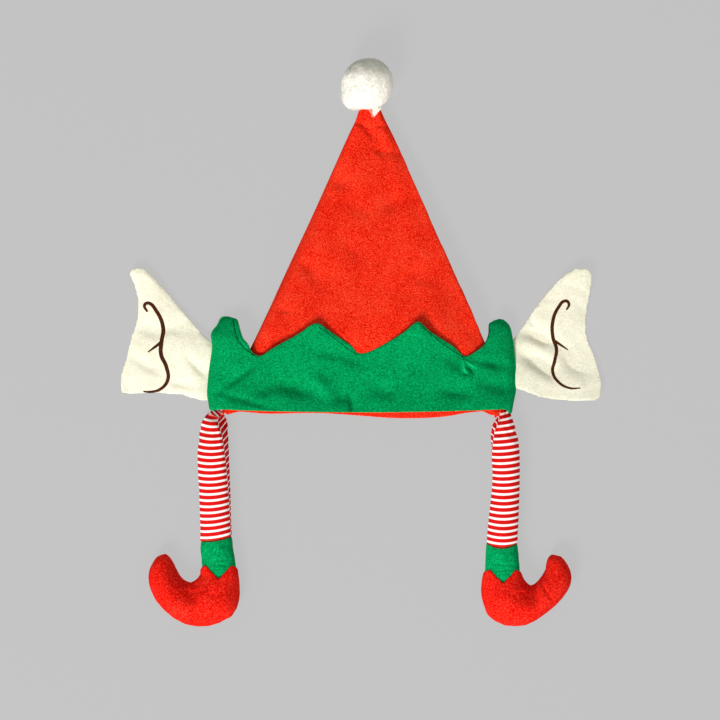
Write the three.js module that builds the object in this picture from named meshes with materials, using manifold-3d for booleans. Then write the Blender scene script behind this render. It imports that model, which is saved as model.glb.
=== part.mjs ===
// Elf hat laid on its back: a hollow fleece crown that ends in a pompom, a felt cuff cut in points round
// its mouth, two fleece ears in the cuff's side seams, and two stuffed legs with curled shoes at the
// corners of the mouth. Millimetres, +Z up, +Y from the mouth to the tip, X across, origin on the
// surface under the middle of the hat. Left is -X.
import * as THREE from "three";
import { mergeVertices } from "three/addons/utils/BufferGeometryUtils.js";
import Module from "manifold-3d";

const wasm = await Module();
wasm.setup();

// Driving sizes
const CUT_DETAIL = 0.02; // smallest detail kept where a piece is cut back by its neighbour
const SEAT_GAP = 0.3; // between neighbours that are sewn to each other
const FLEECE = 2; // crown wall
const CUFF_WALL = 3.5; // two layers of felt, sewn and turned
const CUFF_FOLD = 10.5; // radius of the cuff's side folds
const CUFF_EDGE_SOFTNESS = 4; // how far the corners of its points and notches are rounded
const CUFF_SLACK = 0.75; // between the cuff and the crown at the mouth
const CUFF_STAND_OFF = 2.6; // how much more the cuff's points stand off the crown
const CUFF_HEIGHT = 80; // from the mouth to the points
const RIM_FRONT = -67; // y of the mouth's upper edge at its corners
const RIM_SWAG = 3.2; // the upper edge hangs this much lower in the middle
const CROWN_RIM_SHY = 0.8; // the crown's upper edge stops this short of the cuff's
const TIP = 233; // y where the crown ends, inside the pompom
const POMPOM = { x: 6.4, y: 258.4, z: 24.2, radius: 26, core: 23 };
const LOCK = { count: 56, root: 4.6, tip: 3.2, shorter: 0.6 }; // tapered locks of the pompom, of three lengths
const COLLAR_DROPS = [4, 2, 0, 7, 14, 7, 0, 2]; // depth of a collar's notches, stepping round half of it
const EAR_EDGE = 3; // thickness of an ear at its sewn edge
const EAR_PAD = 3.6; // extra thickness of an ear's middle
const EAR_SEAM_HEIGHT = 5.5; // height of the seam where an ear leaves the cuff
const EAR_SEAM_X = 150; // distance of that seam from the middle of the hat
const EAR_RISE = 40; // stretch over which an ear rises to the seam

// Sections of the crown, from the mouth to the tip: its two side edges, the radius of its side folds,
// the rise of its front above the folds and the height of its back above the surface.
const CROWN_SECTIONS = [
  { y: -75, left: -143, right: 147.2, fold: 6.5, dome: 26, lift: 3.8 },
  { y: -47, left: -132, right: 143, fold: 6.3, dome: 25.5, lift: 3.8 },
  { y: -12, left: -114.5, right: 128.6, fold: 5.8, dome: 23.5, lift: 3.8 },
  { y: 25, left: -94.5, right: 112.8, fold: 5.4, dome: 21, lift: 3.8 },
  { y: 60, left: -79, right: 97.4, fold: 5, dome: 18.5, lift: 0 },
  { y: 125, left: -48.5, right: 68.5, fold: 4.6, dome: 15, lift: 0 },
  { y: 180, left: -23.8, right: 44.2, fold: 4.4, dome: 11, lift: 1.5 },
  { y: 212, left: -9.4, right: 29.5, fold: 4.4, dome: 7, lift: 6 },
  { y: TIP, left: 1, right: 19, fold: 4.4, dome: 2.5, lift: 10 },
];

// Side edges of the cuff, from the mouth to the top of its points.
const CUFF_SECTIONS = [
  { y: -75, left: -146.8, right: 150.6 },
  { y: -66, left: -148.2, right: 151.8 },
  { y: -57, left: -152.3, right: 155 },
  { y: -45, left: -154.3, right: 157 },
  { y: -12, left: -150, right: 155 },
  { y: 5, left: -147.4, right: 153 },
  { y: 17, left: -144, right: 148 },
  { y: 28, left: -134.5, right: 138.5 },
];

// Points and notches of the cuff's upper edge across the hat; the first and last lie on the side folds.
const CUFF_EDGE = [
  { across: "left fold", y: 26 },
  { across: -128, y: 23 },
  { across: -121.5, y: 9 },
  { across: -116, y: -3 },
  { across: -101.5, y: -14 },
  { across: -45.5, y: 18.5 },
  { across: 4.5, y: -12.5 },
  { across: 56, y: 18.5 },
  { across: 103.5, y: -14 },
  { across: 121, y: -3 },
  { across: 127.5, y: 6 },
  { across: 132, y: 20 },
  { across: "right fold", y: 24 },
];

// Stretches where the crown's back edge shows below the cuff, and the tabs that the legs are sewn to.
const BACK_RIM_DROPS = [
  { x: -90, reach: 48, drop: 2.2 },
  { x: 48, reach: 78, drop: 5.6 },
  { x: -131, reach: 10, drop: 5.5 },
  { x: 132, reach: 11, drop: 8.5 },
];

// Soft valleys of the front, each along a line from one point to another.
const FRONT_DENTS = [
  { x0: -120, y0: -45, x1: -96, y1: -30, width: 11, depth: 2.6 },
  { x0: -80, y0: -50, x1: -15, y1: -46, width: 17, depth: 3.4 },
  { x0: -9, y0: -72, x1: -7, y1: -54, width: 12, depth: 2 },
  { x0: 103, y0: -16, x1: 112, y1: -34, width: 9, depth: 2.6 },
  { x0: 60, y0: -56, x1: 124, y1: -50, width: 14, depth: 3 },
  { x0: -66, y0: 26, x1: -74, y1: 8, width: 13, depth: 2.4 },
  { x0: -2, y0: 218, x1: 22, y1: 196, width: 9, depth: 2.4 },
  { x0: -30, y0: 120, x1: 12, y1: 84, width: 24, depth: 2.8 },
];

// Ribs of an ear from its tip to its lobe: the outer edge, then the inner edge, which lies in the cuff's
// seam from the sixth rib on, and how far the rib's middle bows towards the lobe.
const EAR_LEFT_RIBS = [
  { ax: -222.5, ay: 75.2, bx: -217.5, by: 75, bow: 0 },
  { ax: -229.6, ay: 67, bx: -207, by: 65.5, bow: -1 },
  { ax: -224, ay: 48, bx: -190, by: 46.5, bow: 0 },
  { ax: -223.6, ay: 32, bx: -175, by: 28, bow: 0 },
  { ax: -225.2, ay: 20, bx: -162, by: 13.5, bow: 0 },
  { ax: -227.5, ay: 11, bx: -146, by: -1, bow: 0 },
  { ax: -233, ay: -8, bx: -142, by: -18, bow: -1 },
  { ax: -238, ay: -26, bx: -142, by: -38, bow: -2 },
  { ax: -241, ay: -44, bx: -142, by: -53, bow: -3 },
  { ax: -238.5, ay: -52.4, bx: -142, by: -60.5, bow: -5 },
];
const EAR_RIGHT_RIBS = [
  { ax: 226, ay: 74.6, bx: 217, by: 75.4, bow: 0 },
  { ax: 231.6, ay: 68, bx: 203, by: 67.5, bow: -1 },
  { ax: 229.8, ay: 49, bx: 188, by: 51.5, bow: 0 },
  { ax: 226, ay: 30, bx: 175, by: 35.5, bow: 0 },
  { ax: 226, ay: 15, bx: 162.5, by: 17.5, bow: 0 },
  { ax: 226.4, ay: 7, bx: 148, by: -1, bow: 0 },
  { ax: 232, ay: -8, bx: 146, by: -13, bow: 1 },
  { ax: 238, ay: -24, bx: 146, by: -25, bow: 2 },
  { ax: 241.2, ay: -45, bx: 146, by: -36, bow: 3 },
  { ax: 236.6, ay: -58.3, bx: 146, by: -42, bow: 6 },
];
const EAR_DENTS = [
  { x0: -212, y0: 15, x1: -168, y1: 10, width: 12, depth: 1.8 },
  { x0: -214, y0: -20, x1: -150, y1: -40, width: 11, depth: 2 },
  { x0: 166, y0: 12, x1: 190, y1: -4, width: 10, depth: 2.2 },
  { x0: 164, y0: -14, x1: 196, y1: -32, width: 10, depth: 2.4 },
];

// Ribs of the stuffed limbs, each a line from one edge to the other with the lowest and highest point
// of the section on it; what is below the surface is pressed flat. pleat is the depth of the gathers as
// a share of the section.
const LEG_LEFT_RIBS = [
  { ax: -148, ay: -67.6, bx: -138.4, by: -67.6, low: 6.6, high: 13.5, pleat: 0.16 },
  { ax: -150.6, ay: -71.5, bx: -138, by: -71.5, low: 6.6, high: 15.5, pleat: 0.2 },
  { ax: -156, ay: -77.5, bx: -134.5, by: -77, low: 6.4, high: 20, pleat: 0.14 },
  { ax: -160.4, ay: -89, bx: -132.4, by: -88, low: -1, high: 24, pleat: 0.06 },
  { ax: -162.5, ay: -108, bx: -131.2, by: -107, low: -2, high: 25.5, pleat: 0 },
  { ax: -162.2, ay: -140, bx: -130.6, by: -139, low: -2, high: 25.5, pleat: 0 },
  { ax: -160.6, ay: -175, bx: -130, by: -173.5, low: -2, high: 25, pleat: 0 },
  { ax: -159.6, ay: -198.3, bx: -129, by: -195.3, low: -2, high: 24.5, pleat: 0 },
];
const LEG_RIGHT_RIBS = [
  { ax: 139.6, ay: -67.6, bx: 150.4, by: -67.6, low: 6.6, high: 13.5, pleat: 0.16 },
  { ax: 139.2, ay: -71.5, bx: 150.9, by: -71.5, low: 6.6, high: 15.5, pleat: 0.2 },
  { ax: 134.6, ay: -78.5, bx: 152, by: -78, low: 6.4, high: 20, pleat: 0.14 },
  { ax: 130.8, ay: -90, bx: 156, by: -91, low: -1, high: 24, pleat: 0.06 },
  { ax: 130.4, ay: -108, bx: 159, by: -109, low: -2, high: 25.5, pleat: 0 },
  { ax: 131.6, ay: -136, bx: 158.8, by: -138, low: -2, high: 25.5, pleat: 0 },
  { ax: 128.6, ay: -171, bx: 157.8, by: -173, low: -2, high: 25, pleat: 0 },
  { ax: 126, ay: -201.9, bx: 156.6, by: -202.1, low: -2, high: 24.5, pleat: 0 },
];
const ANKLE_LEFT_RIBS = [
  { ax: -159.6, ay: -198.8, bx: -129, by: -195.8, low: -2, high: 24.5 },
  { ax: -159.4, ay: -211, bx: -127, by: -209.5, low: -2, high: 25.5 },
  { ax: -158.6, ay: -223, bx: -124.6, by: -222.5, low: -1.5, high: 26 },
  { ax: -155, ay: -237, bx: -125.2, by: -237, low: 1.7, high: 26 },
];
const ANKLE_RIGHT_RIBS = [
  { ax: 125.8, ay: -202.3, bx: 156.8, by: -202.5, low: -2, high: 24.5 },
  { ax: 125, ay: -215, bx: 158.2, by: -216, low: -2, high: 25.5 },
  { ax: 124.4, ay: -227, bx: 159.2, by: -228, low: -1.5, high: 26 },
  { ax: 126, ay: -242, bx: 157.5, by: -242, low: 1.7, high: 26 },
];
const SHOE_LEFT_RIBS = [
  { ax: -160.2, ay: -221.5, bx: -123, by: -221.5, low: -2, high: 28.2 },
  { ax: -160, ay: -231, bx: -121.7, by: -243, low: -2, high: 30 },
  { ax: -162.5, ay: -235, bx: -121.8, by: -255, low: -2.5, high: 33 },
  { ax: -165.6, ay: -237.6, bx: -127, by: -270, low: -3, high: 35.5 },
  { ax: -169.6, ay: -239.2, bx: -144.6, by: -281.6, low: -3, high: 37 },
  { ax: -173.1, ay: -239, bx: -164.6, by: -283.6, low: -3, high: 37 },
  { ax: -177.6, ay: -237.4, bx: -185.6, by: -275.8, low: -3, high: 35.5 },
  { ax: -181.1, ay: -233, bx: -202.6, by: -260, low: -3, high: 33.5 },
  { ax: -183.8, ay: -227.4, bx: -210.4, by: -244.6, low: -2.5, high: 31 },
  { ax: -186.8, ay: -220.4, bx: -211.8, by: -232.4, low: -2, high: 28 },
  { ax: -190.6, ay: -214.4, bx: -208.6, by: -222.4, low: -1.5, high: 24 },
  { ax: -195.2, ay: -211.6, bx: -203.6, by: -214.8, low: 1, high: 17.5 },
];
const SHOE_RIGHT_RIBS = [
  { ax: 122.8, ay: -225.8, bx: 160.8, by: -225.8, low: -2, high: 28.2 },
  { ax: 120.8, ay: -246, bx: 162.6, by: -235.5, low: -2, high: 30 },
  { ax: 123, ay: -260, bx: 165, by: -238.4, low: -2.5, high: 33 },
  { ax: 130.4, ay: -275, bx: 167.6, by: -240.6, low: -3, high: 35.5 },
  { ax: 147.4, ay: -283, bx: 170.4, by: -242.4, low: -3, high: 37 },
  { ax: 165.8, ay: -282, bx: 172.9, by: -242.6, low: -3, high: 37 },
  { ax: 185.4, ay: -270, bx: 176.4, by: -239.8, low: -3, high: 35.5 },
  { ax: 199.6, ay: -257.4, bx: 180, by: -234.8, low: -3, high: 33.5 },
  { ax: 208.6, ay: -244.4, bx: 183.2, by: -228.8, low: -2.5, high: 31 },
  { ax: 210.6, ay: -233.2, bx: 184.4, by: -222.8, low: -2, high: 28 },
  { ax: 206.4, ay: -221.8, bx: 186.6, by: -215.8, low: -1.5, high: 24 },
  { ax: 200.6, ay: -214.6, bx: 190.6, by: -212.2, low: 1, high: 17.5 },
];

// Fineness of the facets
const CROWN_LOOP = { front: 26, fold: 4, back: 16 };
const CUFF_LOOP = { front: 42, fold: 6, back: 30 };
const CROWN_ROWS = 14;
const CROWN_ROW_PACKING = 1.25; // above 1, the rows lie closer together towards the mouth
const CUFF_ROWS = 5;
const LIMB_SIDES = 16;
const LEG_STEPS = 15;
const ANKLE_STEPS = 4;
const SHOE_STEPS = 18;
const LOCK_SIDES = 5;
const CORE_SIDES = 16;
const CORE_ROWS = 12;
const EAR_STEPS = 8;
const EAR_ROWS = 17;

const RED_FLEECE = { color: 0xd8281a, roughness: 0.95, metalness: 0 };
const GREEN_FELT = { color: 0x068a4c, roughness: 0.95, metalness: 0 };
const CREAM_FLEECE = { color: 0xf1ead2, roughness: 0.95, metalness: 0 };
const STRIPED_KNIT = { color: 0xe58a86, roughness: 0.9, metalness: 0 };
const WHITE_PILE = { color: 0xf6f4ec, roughness: 1, metalness: 0 };

const { abs, cos, exp, hypot, max, min, PI, sin, sqrt } = Math;
const mix = THREE.MathUtils.lerp;
const ease = (t) => THREE.MathUtils.smoothstep(t, 0, 1);

// Smooth curve through one column of a table, read at any value of its key column. It is level where the
// column turns, so it never passes its rows.
function column(rows, key, name) {
  const last = rows.length - 1;
  const slope = (i) => {
    const before = rows[max(i - 1, 0)];
    const after = rows[min(i + 1, last)];
    const turns = (after[name] - rows[i][name]) * (rows[i][name] - before[name]) < 1e-9;
    const isInside = i > 0 && i < last;
    return isInside && turns ? 0 : (after[name] - before[name]) / (after[key] - before[key]);
  };
  return (at) => {
    const clamped = min(max(at, rows[0][key]), rows[last][key]);
    let i = 0;
    while (i < last - 1 && rows[i + 1][key] < clamped) i++;
    const span = rows[i + 1][key] - rows[i][key];
    const t = (clamped - rows[i][key]) / span;
    const rise = rows[i + 1][name] - rows[i][name];
    const p = slope(i) * span - rise;
    const q = rise - slope(i + 1) * span;
    return rows[i][name] + t * rise + t * (1 - t) * ((1 - t) * p + t * q);
  };
}

// The rows of a table with smooth rows put between them, so that it has the given number of steps.
function refined(rows, steps) {
  const numbered = rows.map((row, index) => ({ ...row, index }));
  const names = Object.keys(rows[0]);
  const read = names.map((name) => column(numbered, "index", name));
  return Array.from({ length: steps + 1 }, (_, i) => {
    const at = (i / steps) * (rows.length - 1);
    return Object.fromEntries(names.map((name, k) => [name, read[k](at)]));
  });
}

// Depth of a table of soft valleys at a point.
function dentDepth(dents, x, y) {
  let depth = 0;
  for (const dent of dents) {
    const dx = dent.x1 - dent.x0;
    const dy = dent.y1 - dent.y0;
    const along = ((x - dent.x0) * dx + (y - dent.y0) * dy) / (dx * dx + dy * dy);
    const t = min(max(along, 0), 1);
    const away = hypot(x - dent.x0 - t * dx, y - dent.y0 - t * dy);
    depth += dent.depth * exp(-((away / dent.width) ** 2));
  }
  return depth;
}

// Closed mesh from its points and faces, turned so that its faces point out.
function closedGeometry(points, faces) {
  let volume = 0;
  for (const [a, b, c] of faces) {
    volume += points[a].dot(new THREE.Vector3().crossVectors(points[b], points[c]));
  }
  const turned = volume < 0 ? faces.map(([a, b, c]) => [a, c, b]) : faces;
  const geometry = new THREE.BufferGeometry().setFromPoints(points);
  geometry.setIndex(turned.flat());
  return geometry;
}

// Faces between two rings of points; the rings start at the given indices.
function band(from, to, count) {
  const faces = [];
  for (let i = 0; i < count; i++) {
    const next = (i + 1) % count;
    faces.push([from + i, from + next, to + next], [from + i, to + next, to + i]);
  }
  return faces;
}

// Fan that closes a ring round a centre point.
function fan(ring, centre, count, turned) {
  return Array.from({ length: count }, (_, i) => {
    const next = (i + 1) % count;
    return turned ? [ring + next, ring + i, centre] : [ring + i, ring + next, centre];
  });
}

function centreOf(ring) {
  const sum = ring.reduce((total, point) => total.add(point), new THREE.Vector3());
  return sum.divideScalar(ring.length);
}

// Solid skin over a stack of rings, closed by a fan at each end.
function stack(rings) {
  const count = rings[0].length;
  const points = [...rings.flat(), centreOf(rings[0]), centreOf(rings.at(-1))];
  const faces = rings.slice(1).flatMap((_, j) => band(j * count, (j + 1) * count, count));
  const lastRing = (rings.length - 1) * count;
  faces.push(...fan(0, points.length - 2, count, true));
  faces.push(...fan(lastRing, points.length - 1, count, false));
  return closedGeometry(points, faces);
}

// Wall between an outer and an inner stack of rings that share their first rim. A cup is closed at its
// last rings, and a sleeve is open at both ends.
function wall(outer, inner, isCup) {
  const count = outer[0].length;
  const skin = outer.length * count;
  const points = [...outer.flat(), ...inner.flat()];
  const faces = outer.slice(1).flatMap((_, j) => band(j * count, (j + 1) * count, count));
  faces.push(...inner.slice(1).flatMap((_, j) => band(skin + (j + 1) * count, skin + j * count, count)));
  faces.push(...band(skin, 0, count));
  const outerEnd = skin - count;
  const innerEnd = skin + (inner.length - 1) * count;
  if (isCup) {
    points.push(centreOf(outer.at(-1)), centreOf(inner.at(-1)));
    faces.push(...fan(outerEnd, points.length - 2, count, false));
    faces.push(...fan(innerEnd, points.length - 1, count, true));
  } else {
    faces.push(...band(outerEnd, innerEnd, count));
  }
  return closedGeometry(points, faces);
}

function solidFrom(geometry) {
  const bare = new THREE.BufferGeometry();
  bare.setAttribute("position", geometry.getAttribute("position"));
  bare.setIndex(geometry.getIndex());
  const merged = mergeVertices(bare, 1e-3);
  const triVerts = new Uint32Array(merged.index.array);
  const vertProperties = merged.attributes.position.array;
  return new wasm.Manifold(new wasm.Mesh({ numProp: 3, vertProperties, triVerts }));
}

function geometryFrom(solid) {
  const { vertProperties, triVerts } = solid.simplify(CUT_DETAIL).getMesh();
  const geometry = new THREE.BufferGeometry();
  geometry.setAttribute("position", new THREE.BufferAttribute(vertProperties, 3));
  geometry.setIndex(new THREE.BufferAttribute(triVerts, 1));
  return geometry;
}

// Places round a flattened tube, from the left along the front, round the right fold, along the back,
// where they lie closer towards the folds, and round the left fold.
function loopPlaces({ front, fold, back }) {
  const places = [];
  for (let i = 0; i <= front; i++) places.push({ side: "front", t: i / front });
  for (let i = 1; i < fold; i++) places.push({ side: "right", t: i / fold });
  for (let i = 0; i <= back; i++) places.push({ side: "back", t: (1 + cos((PI * i) / back)) / 2 });
  for (let i = 1; i < fold; i++) places.push({ side: "left", t: i / fold });
  return places;
}

// Where a place lies on a section: x, the height above the section's back, and how far it belongs to
// the front, from 0 on the back to 1.
function onLoop(section, { side, t }) {
  const { left, right, fold } = section;
  if (side === "front") return { x: mix(left + fold, right - fold, t), rise: 2 * fold, front: 1 };
  if (side === "back") return { x: mix(left + fold, right - fold, t), rise: 0, front: 0 };
  const turn = side === "right" ? PI / 2 - t * PI : -PI / 2 - t * PI;
  const centre = side === "right" ? right - fold : left + fold;
  return { x: centre + fold * cos(turn), rise: fold * (1 + sin(turn)), front: (1 + sin(turn)) / 2 };
}

// Point of a flattened tube with a domed and dented front.
function tubePoint(section, place, y) {
  const { x, rise, front } = onLoop(section, place);
  const middle = (section.left + section.right) / 2;
  const share = (x - middle) / ((section.right - section.left) / 2);
  const bulge = section.dome * (1 - share * share) - dentDepth(FRONT_DENTS, x, y);
  return new THREE.Vector3(x, y, section.lift + rise + front * bulge);
}

// The same section with its skin moved inwards.
function inset(section, depth) {
  const { left, right, fold, dome, lift } = section;
  return { left: left + depth, right: right - depth, fold: fold - depth, dome, lift: lift + depth };
}

const crownColumns = Object.keys(CROWN_SECTIONS[0]).filter((name) => name !== "y");
const crownCurves = crownColumns.map((name) => [name, column(CROWN_SECTIONS, "y", name)]);
const crownSection = (y) => Object.fromEntries(crownCurves.map(([name, read]) => [name, read(y)]));

const cuffLeft = column(CUFF_SECTIONS, "y", "left");
const cuffRight = column(CUFF_SECTIONS, "y", "right");

// The cuff follows the crown's front and stands off it towards its points.
function cuffSection(y) {
  const crown = crownSection(y);
  const left = cuffLeft(y);
  const right = cuffRight(y);
  const standOff = CUFF_SLACK + CUFF_STAND_OFF * ease((y - RIM_FRONT) / CUFF_HEIGHT);
  const top = crown.lift + 2 * crown.fold + crown.dome + standOff + CUFF_WALL;
  return { left, right, fold: CUFF_FOLD, dome: top - 2 * CUFF_FOLD, lift: 0 };
}

// Lower edge of the cuff at a place across the hat.
function cuffRim(x) {
  const share = min(1, abs(x) / -cuffLeft(RIM_FRONT));
  return RIM_FRONT - RIM_SWAG * (1 - share * share);
}

// Lower edge of the crown: just inside the cuff's in front, and dropped below it behind.
function crownRim(x, front) {
  let drop = 0;
  for (const dip of BACK_RIM_DROPS) {
    const away = abs(x - dip.x) / dip.reach;
    if (away < 1) drop = max(drop, (dip.drop * (1 + cos(PI * away))) / 2);
  }
  return cuffRim(x) + CROWN_RIM_SHY * front - drop * (1 - front);
}

function crownRings(places, depth, endY) {
  return Array.from({ length: CROWN_ROWS + 1 }, (_, row) => places.map((place) => {
    const rim = onLoop(crownSection(RIM_FRONT), place);
    const start = crownRim(rim.x, rim.front) + min(depth, 0);
    const y = mix(start, endY, (row / CROWN_ROWS) ** CROWN_ROW_PACKING);
    return tubePoint(inset(crownSection(y), depth), place, y);
  }));
}

function crownGeometry() {
  const places = loopPlaces(CROWN_LOOP);
  const inner = crownRings(places, FLEECE, TIP - FLEECE);
  return wall(crownRings(places, 0, TIP), inner, true);
}

// The crown without its hollow, swollen by the seat gap, which neighbours are cut back by.
function crownRoom() {
  return solidFrom(stack(crownRings(loopPlaces(CROWN_LOOP), -SEAT_GAP, TIP + SEAT_GAP)));
}

// Upper edge of the cuff: straight flanks between its points and notches, with soft corners. The way
// round is counted in millimetres from the middle of a side fold.
function cuffTop(place) {
  const base = cuffSection(RIM_FRONT);
  const quarter = (PI / 2) * CUFF_FOLD;
  const flat = [base.left + CUFF_FOLD, base.right - CUFF_FOLD];
  const wayAt = (x) => quarter + x - flat[0];
  const end = wayAt(flat[1]) + quarter;
  const knots = CUFF_EDGE.map(({ across, y }) => {
    if (across === "left fold") return { way: 0, y };
    return across === "right fold" ? { way: end, y } : { way: wayAt(across), y };
  });
  const { side, t } = place;
  const fromFront = 2 * abs(t - 0.5) * quarter;
  let way = wayAt(mix(flat[0], flat[1], t));
  if (side === "left") way = fromFront;
  if (side === "right") way = end - fromFront;
  const samples = [-1, -0.5, 0, 0.5, 1].map((shift) => {
    const at = abs(way + shift * CUFF_EDGE_SOFTNESS);
    const folded = at > end ? 2 * end - at : at;
    const i = knots.findIndex((knot, k) => k > 0 && folded <= knot.way);
    const share = (folded - knots[i - 1].way) / (knots[i].way - knots[i - 1].way);
    return mix(knots[i - 1].y, knots[i].y, share);
  });
  return samples.reduce((sum, y) => sum + y, 0) / samples.length;
}

function cuffRings(depth) {
  const places = loopPlaces(CUFF_LOOP);
  return Array.from({ length: CUFF_ROWS + 1 }, (_, row) => places.map((place) => {
    const rim = onLoop(cuffSection(RIM_FRONT), place);
    const swell = max(-depth, 0);
    const y = mix(cuffRim(rim.x) - swell, cuffTop(place) + swell, row / CUFF_ROWS);
    return tubePoint(inset(cuffSection(y), depth), place, y);
  }));
}

function cuffGeometry() {
  return wall(cuffRings(0), cuffRings(CUFF_WALL), false);
}

// The cuff without its hollow, swollen by the seat gap, which the ears are cut back by.
function cuffRoom() {
  return solidFrom(stack(cuffRings(-SEAT_GAP)));
}

// A padded ear between its ribs. It lies on the surface and rises to the seam in the cuff.
function earGeometry(ribs, room) {
  const rings = refined(ribs, EAR_ROWS - 1).map((rib, row) => {
    const along = row / (EAR_ROWS - 1);
    const plump = sqrt(4 * along * (1 - along));
    const at = (share) => {
      const x = mix(rib.ax, rib.bx, share);
      const y = mix(rib.ay, rib.by, share) - rib.bow * 4 * share * (1 - share);
      const toSeam = 1 - min(1, max(0, abs(x) - EAR_SEAM_X) / EAR_RISE);
      const low = EAR_SEAM_HEIGHT * ease(toSeam);
      const pad = EAR_PAD * plump * sqrt(max(0, 4 * share * (1 - share)));
      const high = low + EAR_EDGE + pad - dentDepth(EAR_DENTS, x, y) * plump;
      return { x, y, low, high };
    };
    const shares = Array.from({ length: EAR_STEPS + 1 }, (_, i) => i / EAR_STEPS).map(at);
    const upper = shares.map(({ x, y, high }) => new THREE.Vector3(x, y, high));
    const lower = shares.map(({ x, y, low }) => new THREE.Vector3(x, y, low)).reverse();
    return [...upper, ...lower];
  });
  return geometryFrom(solidFrom(stack(rings)).subtract(room));
}

// Ring of a stuffed limb on a rib, pressed flat where it meets the surface.
function limbRing(rib, swell = 0) {
  const { ax, ay, bx, by, low, high, pleat = 0 } = rib;
  const reach = hypot(bx - ax, by - ay) / 2 + swell;
  const along = new THREE.Vector2(bx - ax, by - ay).normalize();
  return Array.from({ length: LIMB_SIDES }, (_, i) => {
    const turn = (2 * PI * i) / LIMB_SIDES;
    const gathered = 1 - pleat * (i % 2);
    const across = reach * gathered * cos(turn);
    const middle = (low + high) / 2;
    const z = middle + ((high - low) / 2 + swell) * gathered * sin(turn);
    return new THREE.Vector3(
      (ax + bx) / 2 + across * along.x,
      (ay + by) / 2 + across * along.y,
      max(z, -swell),
    );
  });
}

function limbGeometry(ribs, steps) {
  return stack(refined(ribs, steps).map((rib) => limbRing(rib)));
}

function legGeometry(ribs, room) {
  return geometryFrom(solidFrom(limbGeometry(ribs, LEG_STEPS)).subtract(room));
}

// A shoe with a thin collar that stands round the ankle and ends in points.
function shoeGeometry(ribs, ankleRibs) {
  const collar = limbRing(ribs[0]);
  collar.forEach((point, i) => {
    point.y -= COLLAR_DROPS[i % COLLAR_DROPS.length];
  });
  const rings = [collar, ...refined(ribs.slice(1), SHOE_STEPS).map((rib) => limbRing(rib))];
  const ankle = refined(ankleRibs, ANKLE_STEPS).map((rib) => limbRing(rib, SEAT_GAP));
  const shifted = ankle.at(-1).map((point) => point.clone().add(new THREE.Vector3(0, -SEAT_GAP, 0)));
  const room = solidFrom(stack([...ankle, shifted]));
  return geometryFrom(solidFrom(stack(rings)).subtract(room));
}

// Directions spread evenly over a ball.
function spreadDirections(count) {
  const goldenTurn = PI * (3 - sqrt(5));
  return Array.from({ length: count }, (_, i) => {
    const height = 1 - (2 * i + 1) / count;
    const ring = sqrt(1 - height * height);
    return new THREE.Vector3(ring * cos(i * goldenTurn), ring * sin(i * goldenTurn), height);
  });
}

// A ball of tapered locks fused to a core, pressed flat where it lies and cut back round the tip.
function pompomGeometry(room) {
  const { x, y, z, radius, core } = POMPOM;
  const lockLength = radius - core / 2;
  let ball = solidFrom(new THREE.SphereGeometry(core, CORE_SIDES, CORE_ROWS));
  spreadDirections(LOCK.count).forEach((direction, i) => {
    const lock = new THREE.CylinderGeometry(LOCK.tip, LOCK.root, lockLength, LOCK_SIDES);
    lock.translate(0, core / 2 + lockLength / 2 - (i % 3) * LOCK.shorter, 0);
    const upright = new THREE.Vector3(0, 1, 0);
    lock.applyQuaternion(new THREE.Quaternion().setFromUnitVectors(upright, direction));
    ball = ball.add(solidFrom(lock));
  });
  const placed = ball.translate([x, y, z]);
  const slab = new THREE.BoxGeometry(4 * radius, 4 * radius, radius);
  const ground = solidFrom(slab.translate(x, y, -radius / 2));
  return geometryFrom(placed.subtract(ground).subtract(room));
}

function node(name, geometry, finish) {
  const mesh = new THREE.Mesh(geometry, new THREE.MeshStandardMaterial(finish));
  mesh.name = name;
  mesh.geometry.computeVertexNormals();
  return mesh;
}

const tipRoom = crownRoom();
const mouthRoom = tipRoom.add(cuffRoom());

const hat = new THREE.Group();
hat.add(
  node("crown", crownGeometry(), RED_FLEECE),
  node("cuff", cuffGeometry(), GREEN_FELT),
  node("pompom", pompomGeometry(tipRoom), WHITE_PILE),
  node("ear_left", earGeometry(EAR_LEFT_RIBS, cuffRoom()), CREAM_FLEECE),
  node("ear_right", earGeometry(EAR_RIGHT_RIBS, cuffRoom()), CREAM_FLEECE),
  node("leg_left", legGeometry(LEG_LEFT_RIBS, mouthRoom), STRIPED_KNIT),
  node("leg_right", legGeometry(LEG_RIGHT_RIBS, mouthRoom), STRIPED_KNIT),
  node("ankle_left", limbGeometry(ANKLE_LEFT_RIBS, ANKLE_STEPS), GREEN_FELT),
  node("ankle_right", limbGeometry(ANKLE_RIGHT_RIBS, ANKLE_STEPS), GREEN_FELT),
  node("shoe_left", shoeGeometry(SHOE_LEFT_RIBS, ANKLE_LEFT_RIBS), RED_FLEECE),
  node("shoe_right", shoeGeometry(SHOE_RIGHT_RIBS, ANKLE_RIGHT_RIBS), RED_FLEECE),
);

export default hat;
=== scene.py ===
# Elf hat laid flat: a red fleece crown with a pompom, a green felt cuff cut in points, padded ears in its
# side seams, and stuffed striped legs with green ankles and curl-toed shoes. Sizes are millimetres in the
# part's own frame: +Y from the mouth to the pompom, +Z up from the surface, left is -X.
import math

import bmesh
import bpy
import numpy as np
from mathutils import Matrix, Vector, noise
from mathutils.bvhtree import BVHTree


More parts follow.
